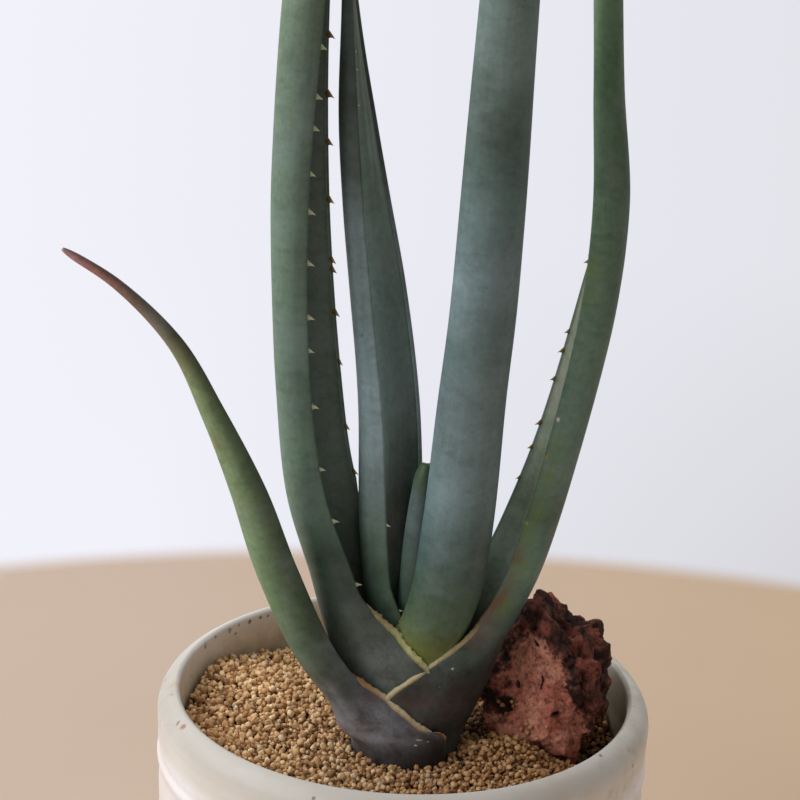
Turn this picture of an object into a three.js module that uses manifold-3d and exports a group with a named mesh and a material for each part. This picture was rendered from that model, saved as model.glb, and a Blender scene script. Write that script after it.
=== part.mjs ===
// A young Aloe suzannae in a stoneware pot, with a lava stone set in its soil. Millimetres, +Z up.
// The origin is the middle of the pot's flat foot. Seen from the front, along +Y, the stone is on the right.
import * as THREE from "three";
import { mergeVertices } from "three/addons/utils/BufferGeometryUtils.js";
import Module from "manifold-3d";

const wasm = await Module();
wasm.setup();

// Pot
const potRadius = 75;
const potHeight = 135;
const potWall = 6.9;
const potFloor = 9;
const rimRound = 8;
const lipRound = 1.4; // the rim's inner edge
const lipDrop = 0.5; // from potHeight down to the lip's highest line
const beadDrop = 21.5; // from the rim's top down to the bead
const beadProud = 0.7;
const drainHoles = 5;
const drainHoleRadius = 4.5;
const drainRing = 27; // the drain holes stand on this radius

// Drain net
const netRadius = 38;
const netSides = 36;
const netThickness = 1;
const netPitch = 11;
const netOpening = 3.6;

// Soil, stone and stem
const soilDrop = 15.5; // from the rim's top down to the soil's edge
const soilHeaps = [ // where the soil lies higher or, between the stone and the wall, lower
  { x: -38, y: 12, rise: 4, spread: 16 },
  { x: 32, y: -17, rise: 6, spread: 7.5 },
  { x: -62, y: 29, rise: 5, spread: 10 },
  { x: 60, y: 2, rise: -14, spread: 11 },
];
const soilRings = 12;
const soilSectors = 40;
const grainSize = 5.5; // larger than life, as relief
const grainRelief = 1.1;
const stoneCentre = [43.9, 4.5, 134.4];
const stoneSize = [18.4, 21.5, 28.6]; // half its width, depth and height
const stoneSlope = 0.144; // how far its top falls to the right
const stoneLean = 0.218; // how far its top leans to the right
const stoneNarrowing = 0.225; // towards its foot
const stoneSquareness = 2.2; // 2 would be an ellipsoid
const brokenFace = [-0.55, -0.75, 0.25]; // the way the flat broken face looks
const plantX = 1;
const plantY = -9;
const rootDepth = 55;
const rootCount = 5;
const rootRadius = 1.6;

const clearance = 0.3; // between any two pieces
const rim = potHeight; // the leaves' heights below are given from the rim's top

// Leaves, oldest first. Each is a half-open tube that clasps the stem at its base and opens into a
// channelled or rounded blade. The axis runs along the middle of that tube, in mm from the pot's axis
// and rim. An angle is half of the tube that is left, and filling is the blade's thickness as a share
// of its radius. Lists are spaced evenly from the foot to the tip.
const leafShapes = [
  {
    name: "leaf_low_left",
    color: 0x55694f,
    axis: [[1, -9, -28], [1, -9, -12], [-6, -10.5, -5], [-10, -13, 0], [-25.5, -17.5, 19.5],
      [-37.8, -20, 45], [-46.8, -24, 71], [-57.1, -27, 95], [-67.3, -31, 116], [-83.1, -35, 133.7],
      [-98.7, -38, 144.7]],
    claspRadius: 16.8,
    claspLength: [12.8, 48.3],
    claspAngle: 133,
    bladeAngle: 112,
    bladeRadius: [6.1, 8.4, 7.7, 6.4, 4, 2.2, 1.2],
    filling: [0.66, 1.1, 1.3, 1.3],
    facing: [-181, -166, -144, -138, -132],
    toothGap: 0,
  },
  {
    name: "leaf_right",
    color: 0x4d6a50,
    axis: [[1, -9, -24], [3, -9, -12], [10, -9, 5], [15.8, -8.5, 16], [21.8, -6.5, 28], [28.9, -4, 42],
      [35.1, -1.5, 60], [42.4, 1, 88], [49, 3, 122], [52.3, 4, 154], [50.3, 5, 186], [47.4, 6, 230],
      [45, 6, 296]],
    claspRadius: 14.6,
    claspLength: [21.4, 53.4],
    claspAngle: 141,
    bladeAngle: 112,
    bladeRadius: [11.2, 10.6, 8.8, 7.6, 4.5, 4, 2.2],
    filling: [0.66, 0.8, 1.3, 1.4, 1.4],
    facing: [1, 21, 9, -5, -56, -85, -85],
    firstTooth: 49,
    toothGap: 16,
  },
  {
    name: "leaf_tall_left",
    color: 0x54705f,
    axis: [[1, -9, -18], [0, -9, -4], [-7, -8.3, 10], [-11.8, -7, 22], [-17.5, -5.5, 41], [-26, -3, 65],
      [-30.8, 0, 96], [-34.4, 2, 150], [-33.6, 3, 207], [-30.1, 4, 260], [-25, 5, 330]],
    claspRadius: 12.5,
    claspLength: [24.5, 59.6],
    claspAngle: 147,
    bladeAngle: 114.3,
    bladeRadius: [12.2, 12.5, 10.8, 9.8, 8.8, 6.9, 3.2],
    filling: [0.66, 0.7, 0.85, 1],
    facing: [163.9, 160.5, 154.3, 162.9, 177.4, 177.5, 182],
    firstTooth: 56,
    toothGap: 16,
  },
  {
    name: "leaf_front",
    color: 0x5a7872,
    axis: [[1, -9, -12], [2, -9.3, 8], [5, -10, 20], [8.6, -11.8, 31], [11, -13.5, 41], [13.6, -16, 66],
      [15.3, -17, 98], [17.2, -18, 128], [19, -18, 190], [21, -18, 260], [24, -17, 338]],
    claspRadius: 10.4,
    claspLength: [15.8, 39.6],
    claspAngle: 125,
    bladeAngle: 112,
    bladeRadius: [11.3, 11, 10.2, 9.7, 8.6, 6.6, 3.2],
    filling: [0.66, 0.7, 0.85, 1],
    facing: [-20.6, -47.4, -44.2, -39.8, -38, -36],
    firstTooth: 48,
    toothGap: 16,
  },
  {
    name: "leaf_back",
    color: 0x4c655c,
    axis: [[1, -9, -6], [0.5, -8, 8], [-2, -5, 24], [-5, -1, 50], [-7.5, 3, 88], [-12, 5, 122],
      [-16.5, 6, 150], [-20.5, 6, 180], [-24, 6, 216]],
    claspRadius: 8.6,
    claspLength: [15, 45],
    claspAngle: 150,
    bladeAngle: 112,
    bladeRadius: [9.6, 10.6, 9.9, 8.6, 6.2, 2.2],
    filling: [0.7, 1.2, 1.4, 1.4],
    facing: [140, 145, 142, 141, 152, 162],
    firstTooth: 46,
    toothGap: 16,
  },
  {
    name: "leaf_young",
    color: 0x4f6d63,
    axis: [[1, -9, 0], [1.5, -9, 14], [2, -8.5, 34], [2.5, -8.5, 54], [4, -8.5, 76]],
    claspRadius: 5.2,
    claspLength: [8, 30],
    claspAngle: 150,
    bladeAngle: 112,
    bladeRadius: [5.2, 5.2, 4.6, 3.4],
    filling: [0.7, 0.9, 1],
    facing: [-70, -75, -78],
    toothGap: 0,
  },
];
const holdFrom = Math.PI / 7; // beyond this angle from its back a leaf holds to the stem
const holdOver = Math.PI / 2;
const claspThickness = 1.9;
const edgeThickness = 1.2;
const tipLength = 7;
const toothLength = 2.3;
const toothHeight = 2.3; // at its root
const toothWidth = 1.1;
const toothSunk = 0.9;
const acrossSteps = 10;
const claspSteps = 8;
const bladeSteps = 11;

const up = new THREE.Vector3(0, 0, 1);

function smooth(t) {
  const c = THREE.MathUtils.clamp(t, 0, 1);
  return c * c * (3 - 2 * c);
}

// The value at t, from 0 to 1, of a smooth curve through evenly spaced values.
function along(values, t) {
  const curve = new THREE.SplineCurve(values.map((v, i) => new THREE.Vector2(i / (values.length - 1), v)));
  return curve.getPoint(THREE.MathUtils.clamp(t, 0, 1)).y;
}

// Booleans, on geometries and solids
function solidOf(geometry) {
  const bare = geometry.clone();
  bare.deleteAttribute("normal");
  bare.deleteAttribute("uv");
  const merged = mergeVertices(bare, 1e-4);
  return new wasm.Manifold(new wasm.Mesh({
    numProp: 3,
    vertProperties: new Float32Array(merged.attributes.position.array),
    triVerts: new Uint32Array(merged.index.array),
  }));
}

function geometryOf(solid) {
  const largest = solid.decompose().sort((a, b) => b.volume() - a.volume())[0];
  const mesh = largest.getMesh();
  const geometry = new THREE.BufferGeometry();
  geometry.setAttribute("position", new THREE.BufferAttribute(new Float32Array(mesh.vertProperties), 3));
  geometry.setIndex(new THREE.BufferAttribute(new Uint32Array(mesh.triVerts), 1));
  return geometry;
}

function facetedGeometry(points, triangles) {
  const geometry = new THREE.BufferGeometry();
  geometry.setAttribute("position", new THREE.Float32BufferAttribute(points.flatMap((p) => p.toArray()), 3));
  geometry.setIndex(triangles.flat());
  return geometry;
}

// Leaf sections
function leafCurve(shape) {
  const points = shape.axis.map(([x, y, z]) => new THREE.Vector3(x, y, z + rim));
  const curve = new THREE.CatmullRomCurve3(points, false, "centripetal");
  curve.arcLengthDivisions = 400;
  return curve;
}

// The section's place, directions and sizes at a distance from the leaf's foot.
function sectionAt(shape, curve, length, distance) {
  const t = THREE.MathUtils.clamp(distance / length, 0, 1);
  const [straight, open] = shape.claspLength;
  const clasp = 1 - smooth((distance - straight) / (open - straight));
  const heading = curve.getTangentAt(t).lerp(up, clasp).normalize();
  const turn = THREE.MathUtils.degToRad(along(shape.facing, t));
  const back = new THREE.Vector3(Math.cos(turn), Math.sin(turn), 0);
  back.addScaledVector(heading, -back.dot(heading)).normalize();
  const side = new THREE.Vector3().crossVectors(heading, back);
  const toTip = Math.min((length - distance) / tipLength, 1);
  const rounding = Math.sqrt(Math.max(1 - (1 - toTip) ** 2, 0));
  const blade = along(shape.bladeRadius, t) * rounding;
  return {
    centre: curve.getPointAt(t),
    heading,
    back,
    side,
    clasp,
    rounding,
    radius: THREE.MathUtils.lerp(blade, shape.claspRadius, clasp),
    filling: along(shape.filling, t),
    halfAngle: THREE.MathUtils.degToRad(THREE.MathUtils.lerp(shape.bladeAngle, shape.claspAngle, clasp)),
  };
}

// A point of the section. Near its base a leaf's back leaves the stem first, while its edges, which are
// at large angles, still hold round the stem.
function place(section, angle, outward, sideways) {
  const hold = section.clasp * smooth((Math.abs(angle) - holdFrom) / holdOver);
  const stem = new THREE.Vector3(plantX, plantY, section.centre.z);
  return section.centre.clone().lerp(stem, hold)
    .addScaledVector(section.back, outward).addScaledVector(section.side, sideways);
}

// A loop of points: the outside from edge to edge, then the inside. grow swells it on all sides.
function sectionLoop(section, grow) {
  const { radius, halfAngle, clasp, rounding } = section;
  const outside = [];
  const inside = [];
  const reach = halfAngle + grow / radius;
  const edge = edgeThickness * rounding;
  const thickness = claspThickness * rounding;
  for (let i = 0; i <= acrossSteps; i++) {
    const q = (2 * i) / acrossSteps - 1;
    const angle = q * reach;
    const skin = radius + grow;
    outside.push(place(section, angle, skin * Math.cos(angle), skin * Math.sin(angle)));
    const wall = edge + (thickness - edge) * (1 - q * q);
    const claspOut = (radius - wall - grow) * Math.cos(angle);
    const claspSide = (radius - wall - grow) * Math.sin(angle);
    const rimOut = (radius - edge) * Math.cos(halfAngle);
    const floor = radius * (1 - section.filling);
    const bladeOut = THREE.MathUtils.lerp(floor, rimOut, Math.abs(q) ** 2.4) - grow;
    const bladeSide = (radius - edge) * Math.sin(halfAngle) * q;
    inside.push(place(section, angle, THREE.MathUtils.lerp(bladeOut, claspOut, clasp),
      THREE.MathUtils.lerp(bladeSide, claspSide, clasp)));
  }
  return [...outside, ...inside.reverse()];
}

function leafDistances(shape, length) {
  const distances = [];
  const open = shape.claspLength[1];
  const bladeEnd = length - tipLength;
  for (let i = 0; i < claspSteps; i++) distances.push((open * i) / claspSteps);
  for (let i = 0; i < bladeSteps; i++) distances.push(open + (bladeEnd - open) * (i / bladeSteps) ** 1.35);
  for (const share of [1, 0.6, 0.3, 0.08]) distances.push(length - tipLength * share);
  return distances;
}

function leafSolid(shape, grow) {
  const curve = leafCurve(shape);
  const length = curve.getLength();
  const points = [];
  const triangles = [];
  const rings = leafDistances(shape, length).map((distance) =>
    sectionLoop(sectionAt(shape, curve, length, distance), grow));
  const round = rings[0].length;
  rings.forEach((ring) => points.push(...ring));
  for (let r = 0; r + 1 < rings.length; r++) {
    for (let i = 0; i < round; i++) {
      const a = r * round + i;
      const b = r * round + ((i + 1) % round);
      triangles.push([a, b, b + round], [a, b + round, a + round]);
    }
  }
  // Both ends are closed by strips between the outside and the inside.
  const last = (rings.length - 1) * round;
  for (let i = 0; i < acrossSteps; i++) {
    const opposite = round - 1 - i;
    triangles.push([i + 1, i, opposite], [i + 1, opposite, opposite - 1]);
    triangles.push([last + i, last + i + 1, last + opposite]);
    triangles.push([last + i + 1, last + opposite - 1, last + opposite]);
  }
  return solidOf(facetedGeometry(points, triangles));
}

// One tooth: a three-sided spike, sunk into the leaf's edge and hooked a little towards the base.
function toothSolid(section, hand) {
  const angle = hand * section.halfAngle;
  const middle = section.radius - edgeThickness / 2;
  const root = place(section, angle, middle * Math.cos(angle), middle * Math.sin(angle));
  const out = section.back.clone().multiplyScalar(-Math.sin(section.halfAngle))
    .addScaledVector(section.side, hand * Math.cos(section.halfAngle));
  const across = new THREE.Vector3().crossVectors(out, section.heading).normalize();
  const corner = (outward, forward, sideways) => root.clone().addScaledVector(out, outward)
    .addScaledVector(section.heading, forward).addScaledVector(across, sideways);
  const corners = [
    corner(-toothSunk, toothHeight / 2, 0),
    corner(-toothSunk, -toothHeight / 2, toothWidth / 2),
    corner(-toothSunk, -toothHeight / 2, -toothWidth / 2),
    corner(toothLength, -toothHeight / 4, 0),
  ];
  const faces = [[0, 2, 1], [0, 1, 3], [1, 2, 3], [2, 0, 3]];
  return solidOf(facetedGeometry(corners, faces));
}

function toothedLeaf(shape) {
  let leaf = leafSolid(shape, 0);
  if (shape.toothGap === 0) return leaf;
  const curve = leafCurve(shape);
  const length = curve.getLength();
  for (const hand of [-1, 1]) {
    for (let n = 0; ; n++) {
      const uneven = Math.sin(n * 2.4 + hand) * 0.25 * shape.toothGap;
      const distance = shape.firstTooth + n * shape.toothGap + uneven;
      if (distance > length - tipLength) break;
      leaf = leaf.add(toothSolid(sectionAt(shape, curve, length, distance), hand));
    }
  }
  return leaf;
}

// Pot
function potSolid() {
  const inner = potRadius - potWall;
  const round = (x, z, r, from, to, steps) => Array.from({ length: steps + 1 }, (_, i) => {
    const angle = THREE.MathUtils.degToRad(from + ((to - from) * i) / steps);
    return new THREE.Vector2(x + r * Math.cos(angle), z + r * Math.sin(angle));
  });
  const bead = potHeight - beadDrop;
  const profile = [
    new THREE.Vector2(0, 0),
    new THREE.Vector2(potRadius - 4, 0),
    ...round(potRadius - 4, 4, 3.4, -60, 0, 2),
    new THREE.Vector2(potRadius - beadProud, bead - 2.5),
    new THREE.Vector2(potRadius, bead),
    new THREE.Vector2(potRadius - 0.5, bead + 2),
    new THREE.Vector2(potRadius - 0.5, bead + 5),
    ...round(potRadius - rimRound, potHeight - rimRound, rimRound, 0, 70, 5),
    ...round(inner + lipRound, potHeight - lipDrop - lipRound, lipRound, 100, 180, 3),
    ...round(inner - 8, potFloor + 8, 8, 0, -90, 3),
    new THREE.Vector2(0, potFloor),
  ];
  const turned = new THREE.LatheGeometry(profile, 48);
  turned.rotateX(Math.PI / 2);
  let pot = solidOf(turned);
  for (let i = 0; i < drainHoles; i++) {
    const angle = (i / drainHoles) * 2 * Math.PI;
    const drill = new THREE.CylinderGeometry(drainHoleRadius, drainHoleRadius, 3 * potFloor, 14);
    drill.rotateX(Math.PI / 2);
    drill.translate(drainRing * Math.cos(angle), drainRing * Math.sin(angle), potFloor / 2);
    pot = pot.subtract(solidOf(drill));
  }
  return pot;
}

// Net over the drain holes
function netSolid() {
  const disc = new THREE.CylinderGeometry(netRadius, netRadius, netThickness, netSides);
  disc.rotateX(Math.PI / 2);
  let net = solidOf(disc);
  const count = Math.floor(netRadius / netPitch);
  for (let i = -count; i <= count; i++) {
    for (let j = -count; j <= count; j++) {
      const fromMiddle = netPitch * Math.hypot(i, j);
      if (fromMiddle > netRadius - netPitch / 2) continue;
      const opening = new THREE.BoxGeometry(netOpening, netOpening, 3 * netThickness);
      opening.translate(i * netPitch, j * netPitch, 0);
      net = net.subtract(solidOf(opening));
    }
  }
  return net.translate([0, 0, potFloor + clearance + netThickness / 2]);
}

// Repeatable scatter: a number from 0 to 1 for each cell of a grid
function scatter(i, j, k) {
  const s = Math.sin(i * 127.1 + j * 311.7 + k * 74.7) * 43758.5453;
  return s - Math.floor(s);
}

// Height of a bed of rounded grains at x, y: the highest of the nearest grains' tops
function grainHeight(x, y) {
  const ci = Math.floor(x / grainSize);
  const cj = Math.floor(y / grainSize);
  let best = 0;
  for (let i = ci - 1; i <= ci + 1; i++) {
    for (let j = cj - 1; j <= cj + 1; j++) {
      const gx = (i + 0.2 + 0.6 * scatter(i, j, 1)) * grainSize;
      const gy = (j + 0.2 + 0.6 * scatter(i, j, 2)) * grainSize;
      const d = Math.hypot(x - gx, y - gy) / (0.62 * grainSize);
      best = Math.max(best, Math.sqrt(Math.max(1 - d * d, 0)) * (0.6 + 0.4 * scatter(i, j, 3)));
    }
  }
  return best * grainRelief;
}

function soilSolid() {
  const outer = potRadius - potWall - clearance;
  const bottom = potFloor + netThickness + 2 * clearance;
  const top = (r, angle) => {
    const x = r * Math.cos(angle);
    const y = r * Math.sin(angle);
    const lip = smooth((outer - r) / 5);
    let height = potHeight - soilDrop + grainHeight(x, y) * lip;
    for (const heap of soilHeaps) {
      height += heap.rise * Math.exp(-(((x - heap.x) ** 2 + (y - heap.y) ** 2) / heap.spread ** 2) / 2);
    }
    return new THREE.Vector3(x, y, height);
  };
  const points = [top(0, 0)];
  for (let r = 1; r <= soilRings; r++) {
    for (let s = 0; s < soilSectors; s++) {
      points.push(top((outer * r) / soilRings, (s / soilSectors) * 2 * Math.PI));
    }
  }
  const side = [[outer, bottom + 8.4], [outer - 2.4, bottom + 2.4], [outer - 8.4, bottom]];
  for (const [r, z] of side) {
    for (let s = 0; s < soilSectors; s++) {
      const angle = (s / soilSectors) * 2 * Math.PI;
      points.push(new THREE.Vector3(r * Math.cos(angle), r * Math.sin(angle), z));
    }
  }
  const last = points.length;
  points.push(new THREE.Vector3(0, 0, bottom));
  const triangles = [];
  for (let s = 0; s < soilSectors; s++) {
    const next = (s + 1) % soilSectors;
    triangles.push([0, 1 + s, 1 + next]);
    for (let r = 0; r < soilRings - 1 + side.length; r++) {
      const a = 1 + r * soilSectors;
      const b = a + soilSectors;
      triangles.push([a + s, b + s, b + next], [a + s, b + next, a + next]);
    }
    const foot = last - soilSectors;
    triangles.push([last, foot + next, foot + s]);
  }
  return solidOf(facetedGeometry(points, triangles));
}

// Lava stone: a ball dented and knobbed by sums of waves, with one broken flat face to the front left
function stoneSolid(grow) {
  const ball = new THREE.IcosahedronGeometry(1, 5);
  const p = ball.attributes.position;
  const [w, d, h] = stoneSize;
  const broken = new THREE.Vector3(...brokenFace).normalize();
  for (let i = 0; i < p.count; i++) {
    const n = new THREE.Vector3(p.getX(i), p.getY(i), p.getZ(i)).normalize();
    const wave = 0.05 * Math.sin(4.1 * n.x - 1) * Math.cos(3.3 * n.y)
      + 0.04 * Math.sin(7 * n.z + 5 * n.x + 3) + 0.035 * Math.sin(11 * n.y + 9 * n.x + 2)
      + 0.03 * Math.sin(17 * n.z + 13 * n.y) + 0.1 * Math.cos(5 * n.x + 2.2) * Math.max(n.z, 0);
    const corner = n.toArray().reduce((sum, v) => sum + Math.abs(v) ** stoneSquareness, 0);
    n.multiplyScalar(corner ** (-1 / stoneSquareness) * (0.93 + wave));
    n.x = n.x * (1 - stoneNarrowing * Math.max(-n.z, 0)) + stoneLean * n.z;
    n.z -= stoneSlope * n.x;
    const over = n.dot(broken) - 0.72;
    if (over > 0) n.addScaledVector(broken, -0.85 * over);
    p.setXYZ(i, n.x * (w + grow), n.y * (d + grow), n.z * (h + grow));
  }
  ball.translate(...stoneCentre);
  return solidOf(ball);
}

// Stem: stepped, so that each leaf's clasping foot stands on its own step, with roots below
function stemSolid(grow) {
  const profile = [[0, -rootDepth], [5, -rootDepth + 2], [11, -44], [15, -36]];
  leafShapes.forEach((shape) => {
    const foot = shape.axis[0][2] - clearance;
    const radius = shape.claspRadius;
    profile.push([radius - edgeThickness / 2, foot], [radius - claspThickness - 3 * clearance, foot]);
  });
  const top = leafShapes[leafShapes.length - 1].axis[0][2] + 6;
  profile.push([2, top], [0, top + 1]);
  const outline = profile.map(([r, z]) =>
    new THREE.Vector2(r > 0 ? r + grow : 0, z < 0.9 * -rootDepth ? z - grow : z + grow));
  const trunk = new THREE.LatheGeometry(outline, 16);
  trunk.rotateX(Math.PI / 2);
  trunk.translate(plantX, plantY, rim);
  let stem = solidOf(trunk);
  for (let i = 0; i < rootCount; i++) {
    const turn = ((i + 0.3 * scatter(i, 2, 5)) / rootCount) * 2 * Math.PI;
    const reach = 26 + 8 * scatter(i, 3, 5);
    const bends = [[4, 42], [14, 50], [reach * 0.8, 60], [reach, 82]];
    const route = new THREE.CatmullRomCurve3(bends.map(([r, drop]) =>
      new THREE.Vector3(plantX + r * Math.cos(turn), plantY + r * Math.sin(turn), rim - drop)));
    const girth = new THREE.Shape();
    girth.absarc(0, 0, rootRadius + grow, 0, 2 * Math.PI);
    const root = new THREE.ExtrudeGeometry(girth, { extrudePath: route, steps: 4, curveSegments: 3 });
    stem = stem.add(solidOf(root));
  }
  return stem;
}

// The room inside the oldest leaf's clasp, which holds no soil
function claspRoom() {
  const { claspRadius, axis } = leafShapes[0];
  const radius = claspRadius - edgeThickness;
  const room = new THREE.CylinderGeometry(radius, radius, potHeight, 24);
  room.rotateX(Math.PI / 2);
  room.translate(plantX, plantY, rim + axis[0][2] - clearance + potHeight / 2);
  return solidOf(room);
}

function addPiece(group, name, solid, color, roughness) {
  const material = new THREE.MeshStandardMaterial({ color, roughness, metalness: 0, flatShading: true });
  const mesh = new THREE.Mesh(geometryOf(solid), material);
  mesh.name = name;
  group.add(mesh);
}

const group = new THREE.Group();

addPiece(group, "pot", potSolid(), 0xe4dfd6, 0.45);
addPiece(group, "drain_net", netSolid(), 0x2b2b2b, 0.6);

// Each leaf is cleared of the younger ones that it clasps.
leafShapes.forEach((shape, i) => {
  let leaf = toothedLeaf(shape);
  for (const younger of leafShapes.slice(i + 1)) leaf = leaf.subtract(leafSolid(younger, clearance));
  addPiece(group, shape.name, leaf, shape.color, 0.5);
});
addPiece(group, "stem", stemSolid(0), 0x8a7a5c, 0.8);
addPiece(group, "lava_stone", stoneSolid(0), 0x7a463c, 0.95);

let soil = soilSolid();
soil = soil.subtract(stoneSolid(clearance));
soil = soil.subtract(stemSolid(clearance));
soil = soil.subtract(claspRoom());
for (const shape of leafShapes) soil = soil.subtract(leafSolid(shape, clearance));
addPiece(group, "soil", soil, 0xb8925f, 1);

export default group;
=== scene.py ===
import math
import random
import time

import bpy
import bmesh
import numpy as np
from mathutils import Matrix, Vector, noise
from mathutils.bvhtree import BVHTree


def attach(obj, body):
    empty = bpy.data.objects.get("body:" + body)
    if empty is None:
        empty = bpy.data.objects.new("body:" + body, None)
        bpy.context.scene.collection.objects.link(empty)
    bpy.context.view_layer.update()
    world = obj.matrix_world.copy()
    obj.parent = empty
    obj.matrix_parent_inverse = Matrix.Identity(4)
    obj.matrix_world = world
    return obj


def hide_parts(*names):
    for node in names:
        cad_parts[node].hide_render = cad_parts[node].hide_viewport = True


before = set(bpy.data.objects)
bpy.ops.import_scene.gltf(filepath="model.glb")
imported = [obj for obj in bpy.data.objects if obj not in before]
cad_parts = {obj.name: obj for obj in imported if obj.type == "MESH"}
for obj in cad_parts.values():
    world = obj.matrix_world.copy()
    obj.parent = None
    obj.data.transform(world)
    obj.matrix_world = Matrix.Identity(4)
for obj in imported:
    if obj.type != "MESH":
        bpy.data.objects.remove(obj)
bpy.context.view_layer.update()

# A young tree aloe in a round-rimmed pot of fired-clay grains, with a lava stone.
# All sizes below are in millimetres from the middle of the pot's foot. They become metres in meshFrom.
mm = 0.001
startedAt = time.time()
rimTop = 135.0
# the growth map: across, 0 to 1 is the leaf's outside and 1 to 2 its inside; along, 1 is 100 mm
skinWidth = 45.0  # mm across the outside
growthStep = 100
plantX, plantY = 1.0, -9.0


def say(stage):
    print(f"[{time.time() - startedAt:5.1f} s] {stage}")


# small helpers for numbers, meshes and node trees

def mix(a, b, t):
    return a + (b - a) * t


def smooth(t):
    t = min(max(t, 0.0), 1.0)
    return t * t * (3 - 2 * t)


def stepsAcross(steps):
    # evenly from -1 to 1
    return [2 * i / steps - 1 for i in range(steps + 1)]


def tone(red, green, blue):
    # a colour as a paint program shows it, turned into Blender's linear values
    linear = [((c / 255 + 0.055) / 1.055) ** 2.4 if c > 10 else c / 255 / 12.92 for c in (red, green, blue)]
    return (*linear, 1.0)


def mixTones(a, b, t):
    # between two colours as a paint program shows them, in linear values
    return tuple(mix(p, q, t) for p, q in zip(tone(*a)[:3], tone(*b)[:3]))


def toneAlong(stops, place):
    # stops: (place, colour), sorted
    for (before, first), (after, second) in zip(stops, stops[1:]):
        if place < after:
            t = min(max((place - before) / (after - before), 0), 1)
            return tuple(mix(p, q, t) for p, q in zip(first, second))
    return stops[-1][1]


def valueAlong(values, t):
    # smooth curve through evenly spaced values, t from 0 to 1
    last = len(values) - 1
    place = min(max(t, 0.0), 1.0) * last
    i = min(int(place), last)
    w = place - i
    p0, p1 = values[max(i - 1, 0)], values[i]
    p2, p3 = values[min(i + 1, last)], values[min(i + 2, last)]
    s1, s2 = (p2 - p0) / 2, (p3 - p1) / 2
    return (2 * p1 - 2 * p2 + s1 + s2) * w ** 3 + (3 * p2 - 3 * p1 - 2 * s1 - s2) * w ** 2 + s1 * w + p1


def linked(name, data):
    made = bpy.data.objects.new(name, data)
    bpy.context.scene.collection.objects.link(made)
    return made


def meshFrom(name, points, faces, uvs=None, slots=None, tints=None, materials=()):
    # points in mm, faces as lists of equal or mixed length, uvs and tints one per point
    mesh = bpy.data.meshes.new(name)
    places = [tuple(p) for p in np.asarray(points, float) * mm]
    mesh.from_pydata(places, [], [[int(i) for i in face] for face in faces])
    corners = np.zeros(len(mesh.loops), dtype=np.int32)
    mesh.loops.foreach_get("vertex_index", corners)
    if uvs is not None:
        layer = mesh.uv_layers.new(name="growth")
        layer.data.foreach_set("uv", np.asarray(uvs, np.float32)[corners].ravel())
    if tints is not None:
        layer = mesh.color_attributes.new(name="tints", type="FLOAT_COLOR", domain="POINT")
        layer.data.foreach_set("color", np.asarray(tints, np.float32).ravel())
    for material in materials:
        mesh.materials.append(material)
    if slots is not None:
        mesh.polygons.foreach_set("material_index", np.asarray(slots, np.int32))
    mesh.polygons.foreach_set("use_smooth", np.full(len(mesh.polygons), True))
    mesh.update()
    return linked(name, mesh)


def pieceFrom(name, shape):
    # shape is a bmesh, in metres
    mesh = bpy.data.meshes.new(name)
    shape.to_mesh(mesh)
    shape.free()
    return linked(name, mesh)


def tubeFaces(rows, loop):
    # rows of points, loop points to a row, closed at both ends
    faces = []
    for start in range(0, (rows - 1) * loop, loop):
        for i in range(loop):
            a, b = start + i, start + (i + 1) % loop
            faces.append((a, b, b + loop, a + loop))
    return faces + [tuple(reversed(range(loop))), tuple(range((rows - 1) * loop, rows * loop))]


def turnedFaces(rings, around, flip=False):
    # rings of points, with a middle point before the first ring and one after the last
    faces, last = [], 1 + (rings - 1) * around
    for i in range(around):
        j = (i + 1) % around
        faces.append((0, 1 + j, 1 + i))
        for a in range(1, last, around):
            faces.append((a + i, a + j, a + around + j, a + around + i))
        faces.append((last + i, last + j, last + around))
    return [face[::-1] for face in faces] if flip else faces


def ringOf(reach, z, around):
    turns = [2 * math.pi * i / around for i in range(around)]
    return [(reach * math.cos(turn), reach * math.sin(turn), z) for turn in turns]


def settle(piece, slotName, *nodes):
    # the piece belongs to the one rigid body and takes the place of its CAD nodes
    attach(piece, "root")
    if nodes:
        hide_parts(*nodes)


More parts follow.
